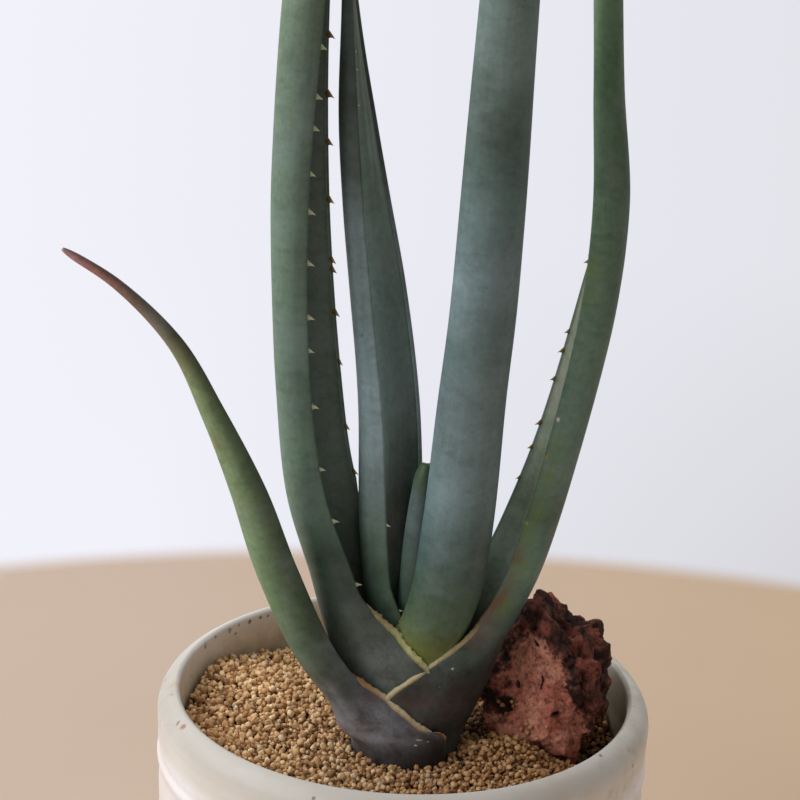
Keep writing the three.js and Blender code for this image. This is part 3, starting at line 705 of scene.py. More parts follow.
# The looks of each leaf. ramp: colours of its outside by mm from the foot; inside: the same for its channel;
# channel: how the channel's colour is changed; sides: painted light and shade across, 0 to 1 outside, 1 to 2
# inside;
# foot: how blotched the clasping foot is; patches: (mm along, place across, size in mm, kind, amount), shade
# being painted shade; white, dark and gold: deposits, scars and bumps, each (mm along, place across, radius
# in mm)
leafLooks = {
    "lowLeft": {
        "ramp": [(0, (32, 28, 26)), (14, (57, 54, 53)), (26, (122, 118, 122)), (40, (107, 107, 110)),
                 (58, (98, 111, 97)), (76, (88, 112, 75)), (100, (107, 130, 99)), (150, (119, 138, 100)),
                 (182, (101, 81, 55)), (196, (160, 113, 109)), (207, (164, 123, 119))],
        "foot": 1, "bloom": (160, 164, 174), "bloomAmount": 0.26,
        "sides": [(0, 1.2), (0.5, 1.4), (0.62, 1.36), (0.72, 1.12), (0.8, 0.8), (0.87, 0.58), (0.95, 0.46),
                  (1, 0.5), (1.05, 1), (2, 1)],
        "patches": [(41, 0.88, 2.6, "wax", 0.75), (38, 0.9, 2.6, "wax", 0.9), (36, 0.875, 2.6, "wax", 0.95),
                    (34.5, 0.83, 2.6, "wax", 0.7), (39, 0.63, 2.4, "wax", 0.9), (36, 0.645, 2.4, "wax", 0.9),
                    (33, 0.68, 2.4, "wax", 0.8), (42, 0.56, 2.6, "wax", 0.7), (46, 0.52, 3, "wax", 0.5),
                    (27, 0.8, 9, "wax", 0.3), (30, 0.6, 8, "wax", 0.35), (133.5, 0.57, 2.6, "stain", 1.0),
                    (49, 0.76, 2.2, "wax", 0.8), (45, 0.745, 2.0, "wax", 0.9), (41, 0.735, 2.0, "wax", 1.0),
                    (37, 0.73, 2.2, "wax", 1.0), (33, 0.73, 2.4, "wax", 0.8), (29, 0.75, 3.0, "wax", 0.6),
                    (26, 0.78, 4.0, "wax", 0.5), (31, 0.9, 3.6, "wax", 0.5), (24, 0.86, 4.0, "wax", 0.35),
                    (43, 0.86, 4.2, "shade", 0.35), (37, 0.84, 3.4, "shade", 0.3),
                    (40, 0.97, 3, "stain", 0.35)],
        "white": [(24.5, 0.93, 0.9), (23, 0.95, 0.6), (22, 0.9, 0.7), (20, 0.86, 0.5), (18.5, 0.84, 0.5),
                  (30, 0.78, 0.4), (27, 0.73, 0.4), (34, 0.7, 0.35), (25, 0.68, 0.35), (18, 0.9, 0.35),
                  (16, 0.8, 0.3), (15, 0.86, 0.4), (21, 0.78, 0.3), (19, 0.72, 0.35), (14, 0.7, 0.3),
                  (12, 0.9, 0.5), (13, 0.8, 0.35)],
        "dark": [(128, 0.62, 0.7), (136, 0.52, 0.6)],
        "gold": [(114, 0.59, 0.9), (121, 0.5, 0.5), (88, 0.6, 0.5)],
    },
    "right": {
        "ramp": [(0, (34, 32, 32)), (22, (40, 51, 50)), (38, (38, 46, 45)), (52, (62, 77, 67)),
                 (70, (98, 128, 122)), (90, (75, 96, 85)), (110, (95, 120, 110)), (160, (87, 111, 93)),
                 (190, (85, 108, 86)), (218, (78, 104, 76)), (232, (90, 118, 88)), (250, (106, 136, 102)),
                 (330, (116, 148, 106))],
        "foot": 1, "bloom": (148, 158, 158), "bloomAmount": 0.2, "channel": (2.3, 1.65, 1.5),
        "sides": [(0, 1.5), (0.1, 1.36), (0.2, 1.16), (0.3, 0.95), (0.4, 0.86), (0.5, 0.8), (0.85, 0.84),
                  (1, 0.95), (1.05, 1), (2, 1)],
        "patches": [(53, 0.03, 4, "stain", 0.7), (58, 0.02, 3.6, "stain", 0.9), (63, 0.03, 3.4, "stain", 1.0),
                    (68, 0.03, 3.2, "stain", 1.0), (73, 0.03, 3, "stain", 1.0), (78, 0.03, 2.6, "stain", 0.9),
                    (82, 0.04, 2, "stain", 0.7), (86, 0.03, 5, "gold", 0.9), (64, 0.1, 4, "gold", 0.6),
                    (94, 0.06, 5, "gold", 0.8), (76, 0.09, 5, "gold", 0.8), (104, 0.05, 5, "gold", 0.7),
                    (114, 0.06, 5, "gold", 0.5), (168, 0.04, 4, "gold", 0.9), (160, 0.05, 4, "gold", 0.5),
                    (30, 0.15, 9, "stain", 0.3)],
        "white": [(42.7, 0.1, 0.75), (54.6, 0.045, 0.6), (53.2, 0.02, 0.45), (63.7, 0.062, 0.5),
                  (46.9, 0.062, 0.4), (37.1, 0.15, 0.5), (42.7, 0.05, 0.35), (39, 0.13, 0.3), (35, 0.17, 0.3),
                  (23.8, 0.238, 0.35), (24.2, 0.25, 0.35), (24.6, 0.262, 0.35), (25, 0.275, 0.35),
                  (122.5, 0.03, 1.2), (151.2, 0.325, 0.5)],
        "dark": [(120.5, 0.05, 0.7), (114.8, 0.225, 0.5), (97, 0.2, 0.5), (88, 0.3, 0.6), (70, 0.26, 0.7)],
        "gold": [(110.6, 0.02, 1.1), (89.6, 0.02, 1.0)],
    },
    "tallLeft": {
        "ramp": [(0, (50, 50, 51)), (24, (66, 70, 68)), (38, (90, 94, 86)), (50, (85, 93, 85)),
                 (70, (74, 94, 80)), (90, (96, 117, 100)), (120, (91, 112, 96)), (200, (90, 107, 91)),
                 (354, (96, 113, 90))],
        "foot": 0.8, "bloom": (132, 146, 152), "bloomAmount": 0.24, "channel": (1.08, 1.0, 1.12),
        "sides": [(0, 1), (0.5, 1.75), (0.62, 1.58), (0.72, 1.46), (0.8, 1.3), (0.88, 1.08), (0.94, 0.82),
                  (1, 0.85), (1.05, 1), (2, 1)],
        "patches": [(38, 0.83, 7, "wax", 0.5), (28, 0.75, 8, "wax", 0.35), (60, 0.92, 5, "shade", 0.6),
                    (70, 0.94, 5, "shade", 0.5), (50, 0.95, 4, "shade", 0.4), (34, 0.93, 4, "wax", 0.3)],
        "white": [(30, 0.8, 0.4), (46, 0.86, 0.35)],
        "dark": [(74, 0.84, 0.6), (100, 0.9, 0.6)],
    },
    "front": {
        "ramp": [(0, (100, 96, 52)), (30, (134, 126, 62)), (36, (112, 120, 70)), (43, (84, 104, 78)),
                 (52, (77, 97, 82)), (66, (72, 94, 90)), (88, (106, 128, 131)), (108, (104, 121, 125)),
                 (130, (90, 111, 111)), (150, (109, 128, 132)), (172, (87, 108, 106)), (190, (75, 91, 84)),
                 (208, (100, 117, 113)), (352, (98, 119, 97))],
        "bloom": (144, 162, 166), "bloomAmount": 0.26,
        "sides": [(0, 1.25), (0.08, 1.15), (0.2, 1.08), (0.4, 1.04), (0.55, 0.94), (0.8, 0.92), (1, 1),
                  (1.05, 1), (2, 1)],
        "patches": [(31, 0.2, 7, "gold", 0.7), (30, 0.45, 8, "gold", 0.7), (88, 0.2, 9, "wax", 0.35),
                    (66, 0.6, 9, "shade", 0.25), (150, 0.6, 10, "wax", 0.25), (190, 0.35, 11, "shade", 0.2),
                    (118, 0.7, 9, "shade", 0.15), (104, 0.35, 8, "wax", 0.25), (214, 0.4, 10, "wax", 0.2)],
        "white": [(40, 0.33, 0.3), (62, 0.4, 0.25)],
        "dark": [(190, 0.28, 0.8), (160, 0.42, 0.8), (216, 0.3, 0.6)],
    },
    "back": {
        # painted light on the outside from 56 to 150 mm, where the tall leaf shades it
        "ramp": [(0, (50, 60, 46)), (40, (90, 116, 92)), (56, (116, 140, 124)), (72, (146, 168, 166)),
                 (90, (171, 194, 200)), (110, (170, 195, 202)), (130, (141, 163, 164)),
                 (150, (140, 158, 162)), (170, (78, 91, 80)), (190, (72, 81, 74)), (224, (100, 114, 110))],
        "bloom": (150, 164, 172), "bloomAmount": 0.24,
        "inside": [(40, (49, 70, 50)), (56, (29, 43, 34)), (70, (49, 66, 60)), (88, (97, 118, 115)),
                   (110, (106, 127, 125)), (130, (103, 124, 122)), (150, (104, 125, 120)),
                   (170, (84, 103, 91)), (190, (94, 110, 99)), (224, (98, 110, 94))],
        "sides": [(0, 0.6), (0.7, 1.05), (0.85, 0.92), (0.94, 0.62), (1, 0.6), (1.05, 1), (1.2, 0.9),
                  (1.35, 0.85), (1.5, 0.93), (1.65, 1.04), (1.75, 1.12), (1.85, 1.38), (1.95, 1.62),
                  (2, 1.6)],
        "white": [(62, 0.94, 0.4)],
        "dark": [(120, 0.9, 0.7), (88, 0.93, 0.6)],
    },
    "young": {
        "ramp": [(0, (56, 66, 56)), (30, (74, 98, 80)), (48, (92, 114, 106)), (60, (108, 128, 128)),
                 (67, (102, 119, 119)), (71, (84, 106, 86)), (76, (74, 98, 62))],
        "bloom": (140, 156, 160), "bloomAmount": 0.2,
        "sides": [(0, 1.35), (0.12, 1.2), (0.22, 0.96), (0.35, 0.66), (0.5, 0.55), (1, 0.6), (1.05, 1),
                  (2, 1)],
        "dark": [(60, 0.2, 0.4)],
    },
}


def leafSkin(name, look, total):
    f = Finish("aloeSkin_" + name, roughness=0.46, Specular_IOR_Level=0.4)
    along, across = f.growth("Y"), f.growth("X")
    wobble = f.range(f.cloud(24, 2, 0.5), 0.3, 0.7, -0.04, 0.04)
    share = f.maths("DIVIDE", f.maths("ADD", along, wobble), total / growthStep)

    def colours(stops):
        return f.ramp(share, [(place / total, tone(*colour)) for place, colour in stops])

    base = colours(look["ramp"])
    channel = f.range(across, 1.0, 1.02)
    if "inside" in look:
        base = f.blend(channel, base, colours(look["inside"]))
    # painted light and shade across the leaf, one side paler than the other; the ramp holds half of each
    # value, since its colours end at 1
    halves = [(place / 2, [light / 2] * 3) for place, light in look["sides"]]
    sides = f.ramp(f.maths("DIVIDE", across, 2.0), halves)
    base = f.blend(1.0, f.blend(1.0, base, sides, "MULTIPLY"), (2, 2, 2, 1), "MULTIPLY")
    # soft blotches, darker and lighter, some of them lying across the leaf
    blotch = f.cloud(70, 4, 0.55, distortion=0.4)
    base = f.mottled(blotch, base, (0.48, 0.75, 0.7), (1.2, 1.22, 1.22), (0.5, 0.25, 0.6), (0.78, 0.8, 0.78))
    lying = f.node("Mapping", Vector=f.growthMap, Scale=(3.2, 22, 1))
    ripple = f.cloud(1.0, 4, 0.55, lying.outputs[0], 0.6)
    base = f.shaded(f.range(ripple, 0.48, 0.7, 0, 0.8), base, (0.76, 0.78, 0.76))
    # the clasping foot is blotched dark and plum
    if "foot" in look:
        foot, plum = f.range(along, 0.68, 0.34, 0, look["foot"]), f.cloud(120, 6, 0.7, distortion=0.3)
        base = f.shaded(f.maths("MULTIPLY", foot, f.range(plum, 0.5, 0.62)), base, (0.56, 0.44, 0.44))
        base = f.shaded(f.maths("MULTIPLY", foot, f.range(plum, 0.46, 0.34)), base, (1.4, 1.46, 1.5))
    # fine wax mottling
    mottle = f.cloud(520, 4, 0.65)
    base = f.mottled(mottle, base, (0.48, 0.72, 0.7), (1.2, 1.2, 1.22), (0.5, 0.3, 0.8), (0.78, 0.8, 0.79))
    # long fibres under the skin, faint
    stretch = f.node("Mapping", Vector=f.growthMap, Scale=(30, 1.4, 1))
    fibres = f.cloud(1.0, 4, 0.55, stretch.outputs[0])
    base = f.shaded(f.range(fibres, 0.4, 0.62, 0, 0.25), base, (0.78, 0.8, 0.76))
    # wax bloom, and thicker wax rubbed into streaks
    waxed = f.maths("MULTIPLY", f.range(f.cloud(48, 4, 0.6), 0.42, 0.72), look["bloomAmount"])
    crumbs = f.cloud(900, 4, 0.7)
    rubbed = f.maths("MULTIPLY", f.tint("Red"), f.range(crumbs, 0.3, 0.7, 0.35, 0.8))
    base = f.blend(f.maths("MAXIMUM", waxed, rubbed), base, tone(*look["bloom"]))
    # brown stains, and golden green where the skin is thin
    rusty = f.range(f.cloud(260, 4, 0.6), 0.34, 0.6, 0.4, 1.0)
    base = f.stained(base, f.tint("Green"), rusty, (116, 66, 48))
    base = f.stained(base, f.tint("Blue"), f.range(fibres, 0.38, 0.62, 0.3, 0.85), (112, 132, 46))
    marks = (("dark", (66, 50, 42), 0.6), ("gold", (168, 158, 84), 0.85), ("white", (222, 220, 212), 0.92))
    for kind, colour, strength in marks:
        if kind in look:
            base = f.stained(base, f.dots(look[kind]), strength, colour)
    if "channel" in look:
        base = f.shaded(channel, base, look["channel"])
    # painted shade where the look lists shade patches
    base = f.shaded(f.flipped(f.tint("Alpha")), base, (0.3, 0.29, 0.29))
    fine = f.cloud(1500, 3, 0.6)
    normal = f.relief(fine, 0.1, 0.0002)
    normal = f.relief(fibres, 0.1, 0.0004, normal)
    normal = f.relief(ripple, 0.12, 0.0006, normal)
    rough = f.range(f.cloud(90, 4, 0.6), 0.3, 0.7, 0.38, 0.54)
    return f.finish(base, normal, rough)


def tintedFinish(name, roughness, fine):
    # colour from the points' own tints, broken up by noise
    f = Finish(name, roughness=roughness, Specular_IOR_Level=0.35)
    own = f.node("Attribute", {"attribute_name": "tints"}).outputs["Color"]
    grain = f.cloud(fine, 4, 0.65)
    patchy = f.cloud(150, 4, 0.6)
    base = f.shaded(f.range(grain, 0.5, 0.3, 0, 0.8), own, (0.68, 0.62, 0.52))
    base = f.shaded(f.range(patchy, 0.5, 0.7, 0, 0.5), base, (0.74, 0.68, 0.56))
    gloss = f.range(patchy, 0.3, 0.7, roughness - 0.06, roughness + 0.08)
    return f.finish(base, f.relief(grain, 0.5, 0.0004), gloss)


def driedEdge(rings):
    points, uvs, tints = [], [], []
    rows, columns, half = driedStrip["rows"], driedStrip["columns"], driedStrip["half"]
    for n in range(rows + 1):
        t = n / rows
        edge, out, forward, across = edgeFrame(rings, mix(driedStrip["start"], driedStrip["end"], t), 1)
        width = driedStrip["width"] * math.sin(math.pi * min(t * 1.15 + 0.08, 1))
        width += 0.25 * noise.noise(Vector((t * 9, 2, 0)))
        upper = [(k / columns, half) for k in range(columns + 1)]
        for q, side in upper + [(share, -half) for share, _ in reversed(upper)]:
            curl = 0.5 * q * q
            place = edge + out * (q * width - 0.15) + across * (0.55 - curl + side)
            points.append(place + forward * 0.2 * noise.noise(Vector((t * 12, q * 3, 5))))
            uvs.append((q, t))
            brown = smooth(q * 1.3 - 0.2 + 0.5 * t)
            tints.append((*mixTones(driedStrip["inner"], driedStrip["outer"], brown), 1))
    return points, tubeFaces(rows + 1, 2 * (columns + 1)), uvs, tints


def patchTints(uvs, patches):
    # red is wax, green is stain, blue is gold, alpha is light, at the places that the leaf's look lists
    channel = {"wax": 0, "stain": 1, "gold": 2, "shade": 3}
    tints = np.zeros((len(uvs), 4))
    spots = np.array(uvs)
    for along, across, size, kind, amount in patches:
        span = np.hypot(spots[:, 1] * growthStep - along, (spots[:, 0] - across) * skinWidth) / size
        tints[:, channel[kind]] = np.maximum(tints[:, channel[kind]], amount * np.exp(-span ** 2))
    tints[:, 3] = 1 - tints[:, 3]
    return tints


def makeLeaves():
    cream, horn = tintedFinish("paleMargin", 0.52, 650), tintedFinish("toothHorn", 0.42, 900)
    younger = []
    for seed, name in enumerate(reversed(list(leaves))):
        leaf, look = leaves[name], leafLooks[name]
        points, faces, uvs, rings = leafMesh(leaf, younger, seed * 7.3)
        leaf["core"] = leafCore(leaf, rings)
        slots = [0] * len(faces)
        parts = [(1, marginStrip(leaf, rings, hand, seed * 2 + hand + 3)) for hand in (-1, 1)]
        parts += [(2, tooth) for tooth in leafTeeth(leaf, rings, seed + 20)]
        if name == "lowLeft":
            parts.append((1, driedEdge(rings)))
        tints = list(patchTints(uvs, look.get("patches", [])))
        for slot, (morePoints, moreFaces, moreUvs, moreTints) in parts:
            first = len(points)
            points += morePoints
            faces += [tuple(first + i for i in face) for face in moreFaces]
            uvs += moreUvs
            tints += moreTints
            slots += [slot] * len(moreFaces)
        skin = leafSkin(name, look, leaf["route"][1][-1])
        piece = meshFrom("aloeLeaf_" + name, points, faces, uvs, slots, tints, (skin, cream, horn))
        settle(piece, "aloe_leaf", leaf["node"])
        younger.insert(0, leaf)
        say(f"leaf {name}: {len(faces)} faces")


makeLeaves()

# the pot is thrown stoneware with a thick round rim and a bead under it

pot = {
    "radius": 75, "height": 135, "wall": 6.9, "floor": 9, "rimRound": 8, "lipRound": 1.6, "lipDrop": 0.42,
    "beadDrop": 21.5, "beadProud": 0.7, "drainHoles": 5, "drainRadius": 4.5, "drainRing": 27,
    # the bead and the groove over it: depth under the pot's radius, rise over the bead
    "beadLine": [(0.62, -2.5), (0.3, -1.4), (0.04, -0.5), (0.02, 0.3), (0.2, 1.0), (0.55, 1.9), (0.62, 2.8),
                 (0.42, 4.2), (0.3, 6.0), (0.34, 8.2), (0.16, 10.4), (0.06, 12.2)],
    "around": 224, "unevenness": 0.18,
    # brown stains and grey-green film: place, size, kind, amount
    "stains": [((-72, -4, 133), 8, "brown", 0.5), ((64, 24, 135), 22, "film", 1),
               ((70, -2, 134), 15, "film", 0.9), ((68, -22, 134), 13, "film", 0.6),
               ((67, -31, 130), 6, "brown", 0.45), ((62, -40, 122), 9, "brown", 0.5),
               ((48, -56, 124), 10, "brown", 0.3)],
    # painted shade on the wall inside: place, size; dust and painted shade over the grains: top, height,
    # amount
    "paintedShade": [((69, 6, 114), 17), ((64, 24, 120), 12)], "shadeStrength": 0.84,
    "dustAndShade": (130, 6, 0.34), "darkest": 0.86,
    "raggedness": 2.2,  # mm, of the marks' outlines
    # small marks in the glaze: place, radius, colour
    "marks": [((-63.3, 26.2, 132.8), 1.0, (74, 62, 50)), ((-60.3, 32, 132.9), 0.7, (96, 84, 70)),
              ((-56.4, 38.4, 132.7), 1.1, (70, 60, 50)), ((-53.6, 42.2, 132.6), 0.7, (92, 80, 66)),
              ((-50.5, 45.8, 132.6), 0.8, (84, 74, 62)), ((-47.2, 49.2, 132.6), 0.7, (98, 86, 72)),
              ((-44.8, 51.3, 132.5), 0.6, (110, 98, 84)), ((-73.3, 2, 132), 0.5, (140, 116, 92)),
              ((-69.7, -12.4, 134), 0.6, (150, 126, 100)), ((-68.9, 8, 134.2), 0.45, (150, 126, 100)),
              ((69.3, -8.1, 134.7), 0.55, (48, 40, 34)), ((68.2, -31.4, 126.4), 0.8, (112, 88, 62)),
              ((-64.5, -31.6, 133.3), 1.3, (158, 112, 80)), ((-66, -28.5, 132.6), 1.0, (140, 96, 66)),
              ((66.4, -30.7, 131.4), 1.4, (172, 164, 120))],
}


def arc(x, z, radius, start, end, steps):
    turns = [math.radians(start + (end - start) * i / steps) for i in range(steps + 1)]
    return [(x + radius * math.cos(t), z + radius * math.sin(t)) for t in turns]


def potProfile():
    r, h, bead = pot["radius"], pot["height"], pot["height"] - pot["beadDrop"]
    inner = r - pot["wall"]
    below = [(r - pot["beadProud"] + 0.12 * math.sin(z * 0.5), z) for z in np.linspace(8, bead - 3.2, 34)]
    beadLine = [(r - depth, bead + rise) for depth, rise in pot["beadLine"]]
    rim = arc(r - pot["rimRound"], h - pot["rimRound"], pot["rimRound"] - 0.02, 2, 70, 14)
    lip = arc(inner + pot["lipRound"], h - pot["lipDrop"] - pot["lipRound"], pot["lipRound"], 96, 172, 7)
    wall = [(inner + 0.12 * math.sin(z * 0.9), z) for z in np.linspace(h - 3.4, pot["floor"] + 8, 30)]
    return ([(0, 0), (20, 0), (40, 0), (60, 0), (r - 4.4, 0)] + arc(r - 4, 4, 3.4, -70, 0, 6)[:-1] + below
            + beadLine + rim + lip + wall + arc(inner - 8, pot["floor"] + 8, 8, 0, -90, 7)[1:]
            + [(40, pot["floor"]), (20, pot["floor"]), (0, pot["floor"])])


def potFinish():
    f = Finish("creamGlaze", roughness=0.42, Specular_IOR_Level=0.5, Coat_Weight=0.12, Coat_Roughness=0.35)
    place = f.node("SeparateXYZ", Vector=f.place())
    height = place.outputs["Z"]
    warm = f.cloud(14, 4, 0.55, distortion=0.5)
    fine = f.cloud(150, 5, 0.65)
    glaze = f.blend(f.range(warm, 0.35, 0.65), tone(232, 228, 222), tone(224, 217, 209))
    bodyClay = f.blend(f.range(warm, 0.35, 0.65), tone(250, 247, 250), tone(241, 235, 236))
    below = f.range(height, 0.1225, 0.118)
    base = f.blend(f.maths("MULTIPLY", below, 0.9), glaze, bodyClay)
    base = f.blend(f.range(fine, 0.52, 0.72, 0, 0.18), base, tone(204, 194, 180))
    # painted shade on the top of the rim, most of all at the front
    front = f.range(place.outputs["Y"], 0.05, -0.03, 0.1, 1)
    top = f.maths("MULTIPLY", f.range(height, 0.124, 0.1325), front)
    base = f.shaded(top, base, (0.72, 0.71, 0.7))
    # the bare clay inside, dusty from the grains
    inside = f.tint("Blue")
    clay = f.blend(f.range(fine, 0.35, 0.65), tone(228, 216, 196), tone(210, 194, 170))
    base = f.blend(inside, base, clay)
    # painted shade on the wall inside, with dust and painted shade over the grains
    base = f.shaded(f.flipped(f.tint("Alpha")), base, (0.3, 0.28, 0.22))
    # warm shade where the glaze pooled, mineral film on the rim with its dark specks
    pooled = f.cloud(26, 3, 0.5, distortion=1.2)
    base = f.shaded(f.range(pooled, 0.5, 0.68, 0, 0.5), base, (0.96, 0.93, 0.9))
    speckle, film = f.cloud(700, 4, 0.7), f.cloud(130, 4, 0.6)
    for channel, amount, colour in (("Red", f.range(film, 0.4, 0.62), (190, 160, 128)),
                                    ("Green", f.range(film, 0.3, 0.6, 0.25, 0.8), (168, 164, 144)),
                                    ("Green", f.range(speckle, 0.62, 0.72, 0, 0.8), (92, 84, 66))):
        base = f.stained(base, f.tint(channel), amount, colour)
    ragged = f.node("VectorMath", {"operation": "MULTIPLY_ADD"})
    f.feed(ragged.inputs[0], f.node("TexNoise", Vector=f.place(), Scale=600.0, Detail=3.0).outputs["Color"])
    f.feed(ragged.inputs[1], [pot["raggedness"] * mm] * 3)
    f.feed(ragged.inputs[2], f.place())
    for spot, size, colour in pot["marks"]:
        # the noise moves everything by half of its height on average
        away = f.distance(ragged, [(c + pot["raggedness"] / 2) * mm for c in spot])
        mark = f.range(away, size * 1.2 * mm, size * 0.5 * mm)
        base = f.stained(base, mark, f.range(speckle, 0.35, 0.55, 0.3, 1), colour)
    # pinholes and iron specks in the glaze
    pins = f.cells(330)
    chance = f.node("SeparateColor", Color=pins.outputs["Color"])
    few = f.range(chance.outputs["Red"], 0.972, 0.98)
    holes = f.maths("MULTIPLY", f.range(pins.outputs["Distance"], 0.24, 0.12), few)
    base = f.stained(base, holes, 0.7, (110, 92, 74))
    turned = f.node("TexWave", {"wave_type": "BANDS", "bands_direction": "Z"},
                    Vector=f.place(), Scale=95, Distortion=1.6, Detail=2.0)
    normal = f.relief(turned.outputs["Fac"], 0.06, 0.0004)
    normal = f.relief(fine, 0.22, 0.0004, normal)
    normal = f.relief(f.cloud(1300, 3, 0.6), 0.12, 0.0002, normal)
    normal = f.relief(f.flipped(holes), 0.6, 0.0004, normal)
    return f.finish(base, normal, f.range(fine, 0.35, 0.7, 0.36, 0.54))


def potTints(points):
    # red is brown stain, green is grey-green film, blue is the bare inside, alpha is light
    tints = np.zeros((len(points), 4))
    place = np.array([tuple(p) for p in points])

    def near(centre, size):
        return np.exp(-((place - centre) ** 2).sum(1) / size ** 2)

    for centre, size, kind, amount in pot["stains"]:
        channel = {"brown": 0, "film": 1}[kind]
        tints[:, channel] = np.maximum(tints[:, channel], amount * near(centre, size))
    reach, height = np.hypot(place[:, 0], place[:, 1]), place[:, 2]
    within = (reach < pot["radius"] - 5.3) & (height > pot["floor"] - 0.5)
    tints[:, 2] = within * np.clip((pot["height"] - 2.2 - height) / 8, 0, 1)
    # painted shade on the wall inside, and dust with painted shade just over the grains
    paintedShade = np.clip(sum(near(centre, size) for centre, size in pot["paintedShade"]), 0, 1)
    top, depth, amount = pot["dustAndShade"]
    overGrainShade = amount * np.clip((top - height) / depth, 0, 1)
    tints[:, 3] = 1 - tints[:, 2] * np.clip(pot["shadeStrength"] * paintedShade + overGrainShade, 0, pot["darkest"])
    return tints


def makePot():
    around, points = pot["around"], []
    profile = potProfile()
    for x, z in profile:
        if x == 0:
            points.append((0, 0, z))
            continue
        for i in range(around):
            turn = 2 * math.pi * i / around
            spot = Vector((math.cos(turn), math.sin(turn), z * 0.02))
            wobble = pot["unevenness"] * (0.5 + 0.5 * noise.noise(spot * 2.1)) * min(x / 60, 1)
            reach = x - wobble if z > 1 and x > pot["radius"] - 6 else x
            points.append((reach * math.cos(turn), reach * math.sin(turn), z))
    piece = meshFrom("stonewarePot", points, turnedFaces(len(profile) - 2, around), tints=potTints(points),
                     materials=(potFinish(),))
    # drain holes through the floor
    drill = bmesh.new()
    for spot in ringOf(pot["drainRing"], 4, pot["drainHoles"]):
        bmesh.ops.create_cone(drill, cap_ends=True, segments=32, radius1=pot["drainRadius"] * mm,
                              radius2=pot["drainRadius"] * mm, depth=30 * mm,
                              matrix=Matrix.Translation(Vector(spot) * mm))
    drills = pieceFrom("drills", drill)
    cut = piece.modifiers.new("drainHoles", "BOOLEAN")
    cut.object, cut.operation, cut.solver = drills, "DIFFERENCE", "EXACT"
    ready = bpy.data.meshes.new_from_object(piece.evaluated_get(bpy.context.evaluated_depsgraph_get()))
    piece.modifiers.clear()
    piece.data = ready
    bpy.data.objects.remove(drills)
    settle(piece, "glazed_stoneware", "pot")


makePot()
say("pot")

# the lava stone is a porous lump with one broken flat face

stone = {
    "centre": (43.9, 4.5, 134.4),
    "size": (18.4, 21.5, 28.6),
    "slope": 0.144,
    "lean": 0.218,
    "narrowing": 0.225,
    "squareness": 2.2,
    "brokenFace": (-0.55, -0.75, 0.25), "brokenAt": 0.72, "flatness": 0.85,
    "skin": (19, 22, 31),  # about its size, for the way that its skin rises
    "knobLimit": 3,  # knobs under this radius get a painted highlight
    "detail": 7,
    # the fresh pink face: its outline seen from the front, x and height over the rim
    "pink": [(32, 16), (34.5, 20), (41.5, 20), (45.5, 17), (48.4, 9.5), (51, 1), (54.5, -5), (55.5, -18),
             (51, -23), (47, -22), (43.5, -14), (38, -13), (30, -17), (26, -15), (27.5, -7), (31.5, -4.5),
             (34, -1), (31, 3), (30.5, 9)],
    # knobs, hollows and cracks on the skin: from, to, radius, rise
    "marks": [((41.3, -7, 23.3), (41.3, -7, 23.3), 2.5, 1.1),
              ((50.7, -3.9, 18.7), (50.7, -3.9, 18.7), 2.3, 1.2),
              ((52.4, -9.2, 13.8), (53, -9, 13.2), 2.4, 1.2), ((30.2, -3.3, 3.5), (30.2, -3.3, 3.5), 2.5, 1),
              ((46.5, -11, 17), (47.5, -10, 15), 1.6, 0.7), ((56, 0, 21), (57, 1, 19), 2.2, 0.9),
              ((61, 4, 12), (61, 4, 12), 2.4, 0.9), ((56, -8, 2), (57, -7, 0), 1.8, 0.8),
              ((36, -5, 20), (37.5, -5.5, 21), 1.5, 0.6), ((58, -4, 8), (58, -4, 8), 1.7, 0.8),
              ((40.4, -11.2, 11), (41.3, -12, 8.8), 0.4, -0.6),
              ((41.3, -12, 8.8), (40.7, -12, 5.6), 0.3, -0.5),
              ((44.6, -14.8, -1.2), (46.6, -14.8, -1.6), 0.85, -0.7),
              ((38, -6, 19.3), (43.5, -9.5, 15.2), 0.5, -0.7), ((33.5, -6, 5), (34, -6.5, 3.6), 0.6, -0.7),
              ((31.5, -5.5, -2), (31.2, -5.4, -4), 2.0, -1.3), ((52.5, -12, -8), (54.5, -11, -12), 1.6, -1.2),
              ((54, -10, -4), (55, -9, -6), 3.6, 1.6), ((53, -12, -14), (57, -9, -20), 6, 3.2),
              ((28, -1, 2), (26.5, -3, -14), 7, 3.4), ((35.5, 1, 27), (36.5, 1, 25), 4.5, 2.2),
              ((45.5, 0, 25), (48, 0, 22.5), 3.5, -1.4)],
}


def stoneShape(n):
    # the lump's main form, the same as in the CAD, at a direction n from its centre
    wave = 0.05 * math.sin(4.1 * n.x - 1) * math.cos(3.3 * n.y) + 0.04 * math.sin(7 * n.z + 5 * n.x + 3)
    wave += 0.035 * math.sin(11 * n.y + 9 * n.x + 2) + 0.03 * math.sin(17 * n.z + 13 * n.y)
    wave += 0.1 * math.cos(5 * n.x + 2.2) * max(n.z, 0)
    corner = sum(abs(v) ** stone["squareness"] for v in n)
    p = n * corner ** (-1 / stone["squareness"]) * (0.93 + wave)
    p.x = p.x * (1 - stone["narrowing"] * max(-p.z, 0)) + stone["lean"] * p.z
    p.z -= stone["slope"] * p.x
    broken = Vector(stone["brokenFace"]).normalized()
    p -= broken * stone["flatness"] * max(p.dot(broken) - stone["brokenAt"], 0)
    return Vector((p.x * stone["size"][0], p.y * stone["size"][1], p.z * stone["size"][2]))


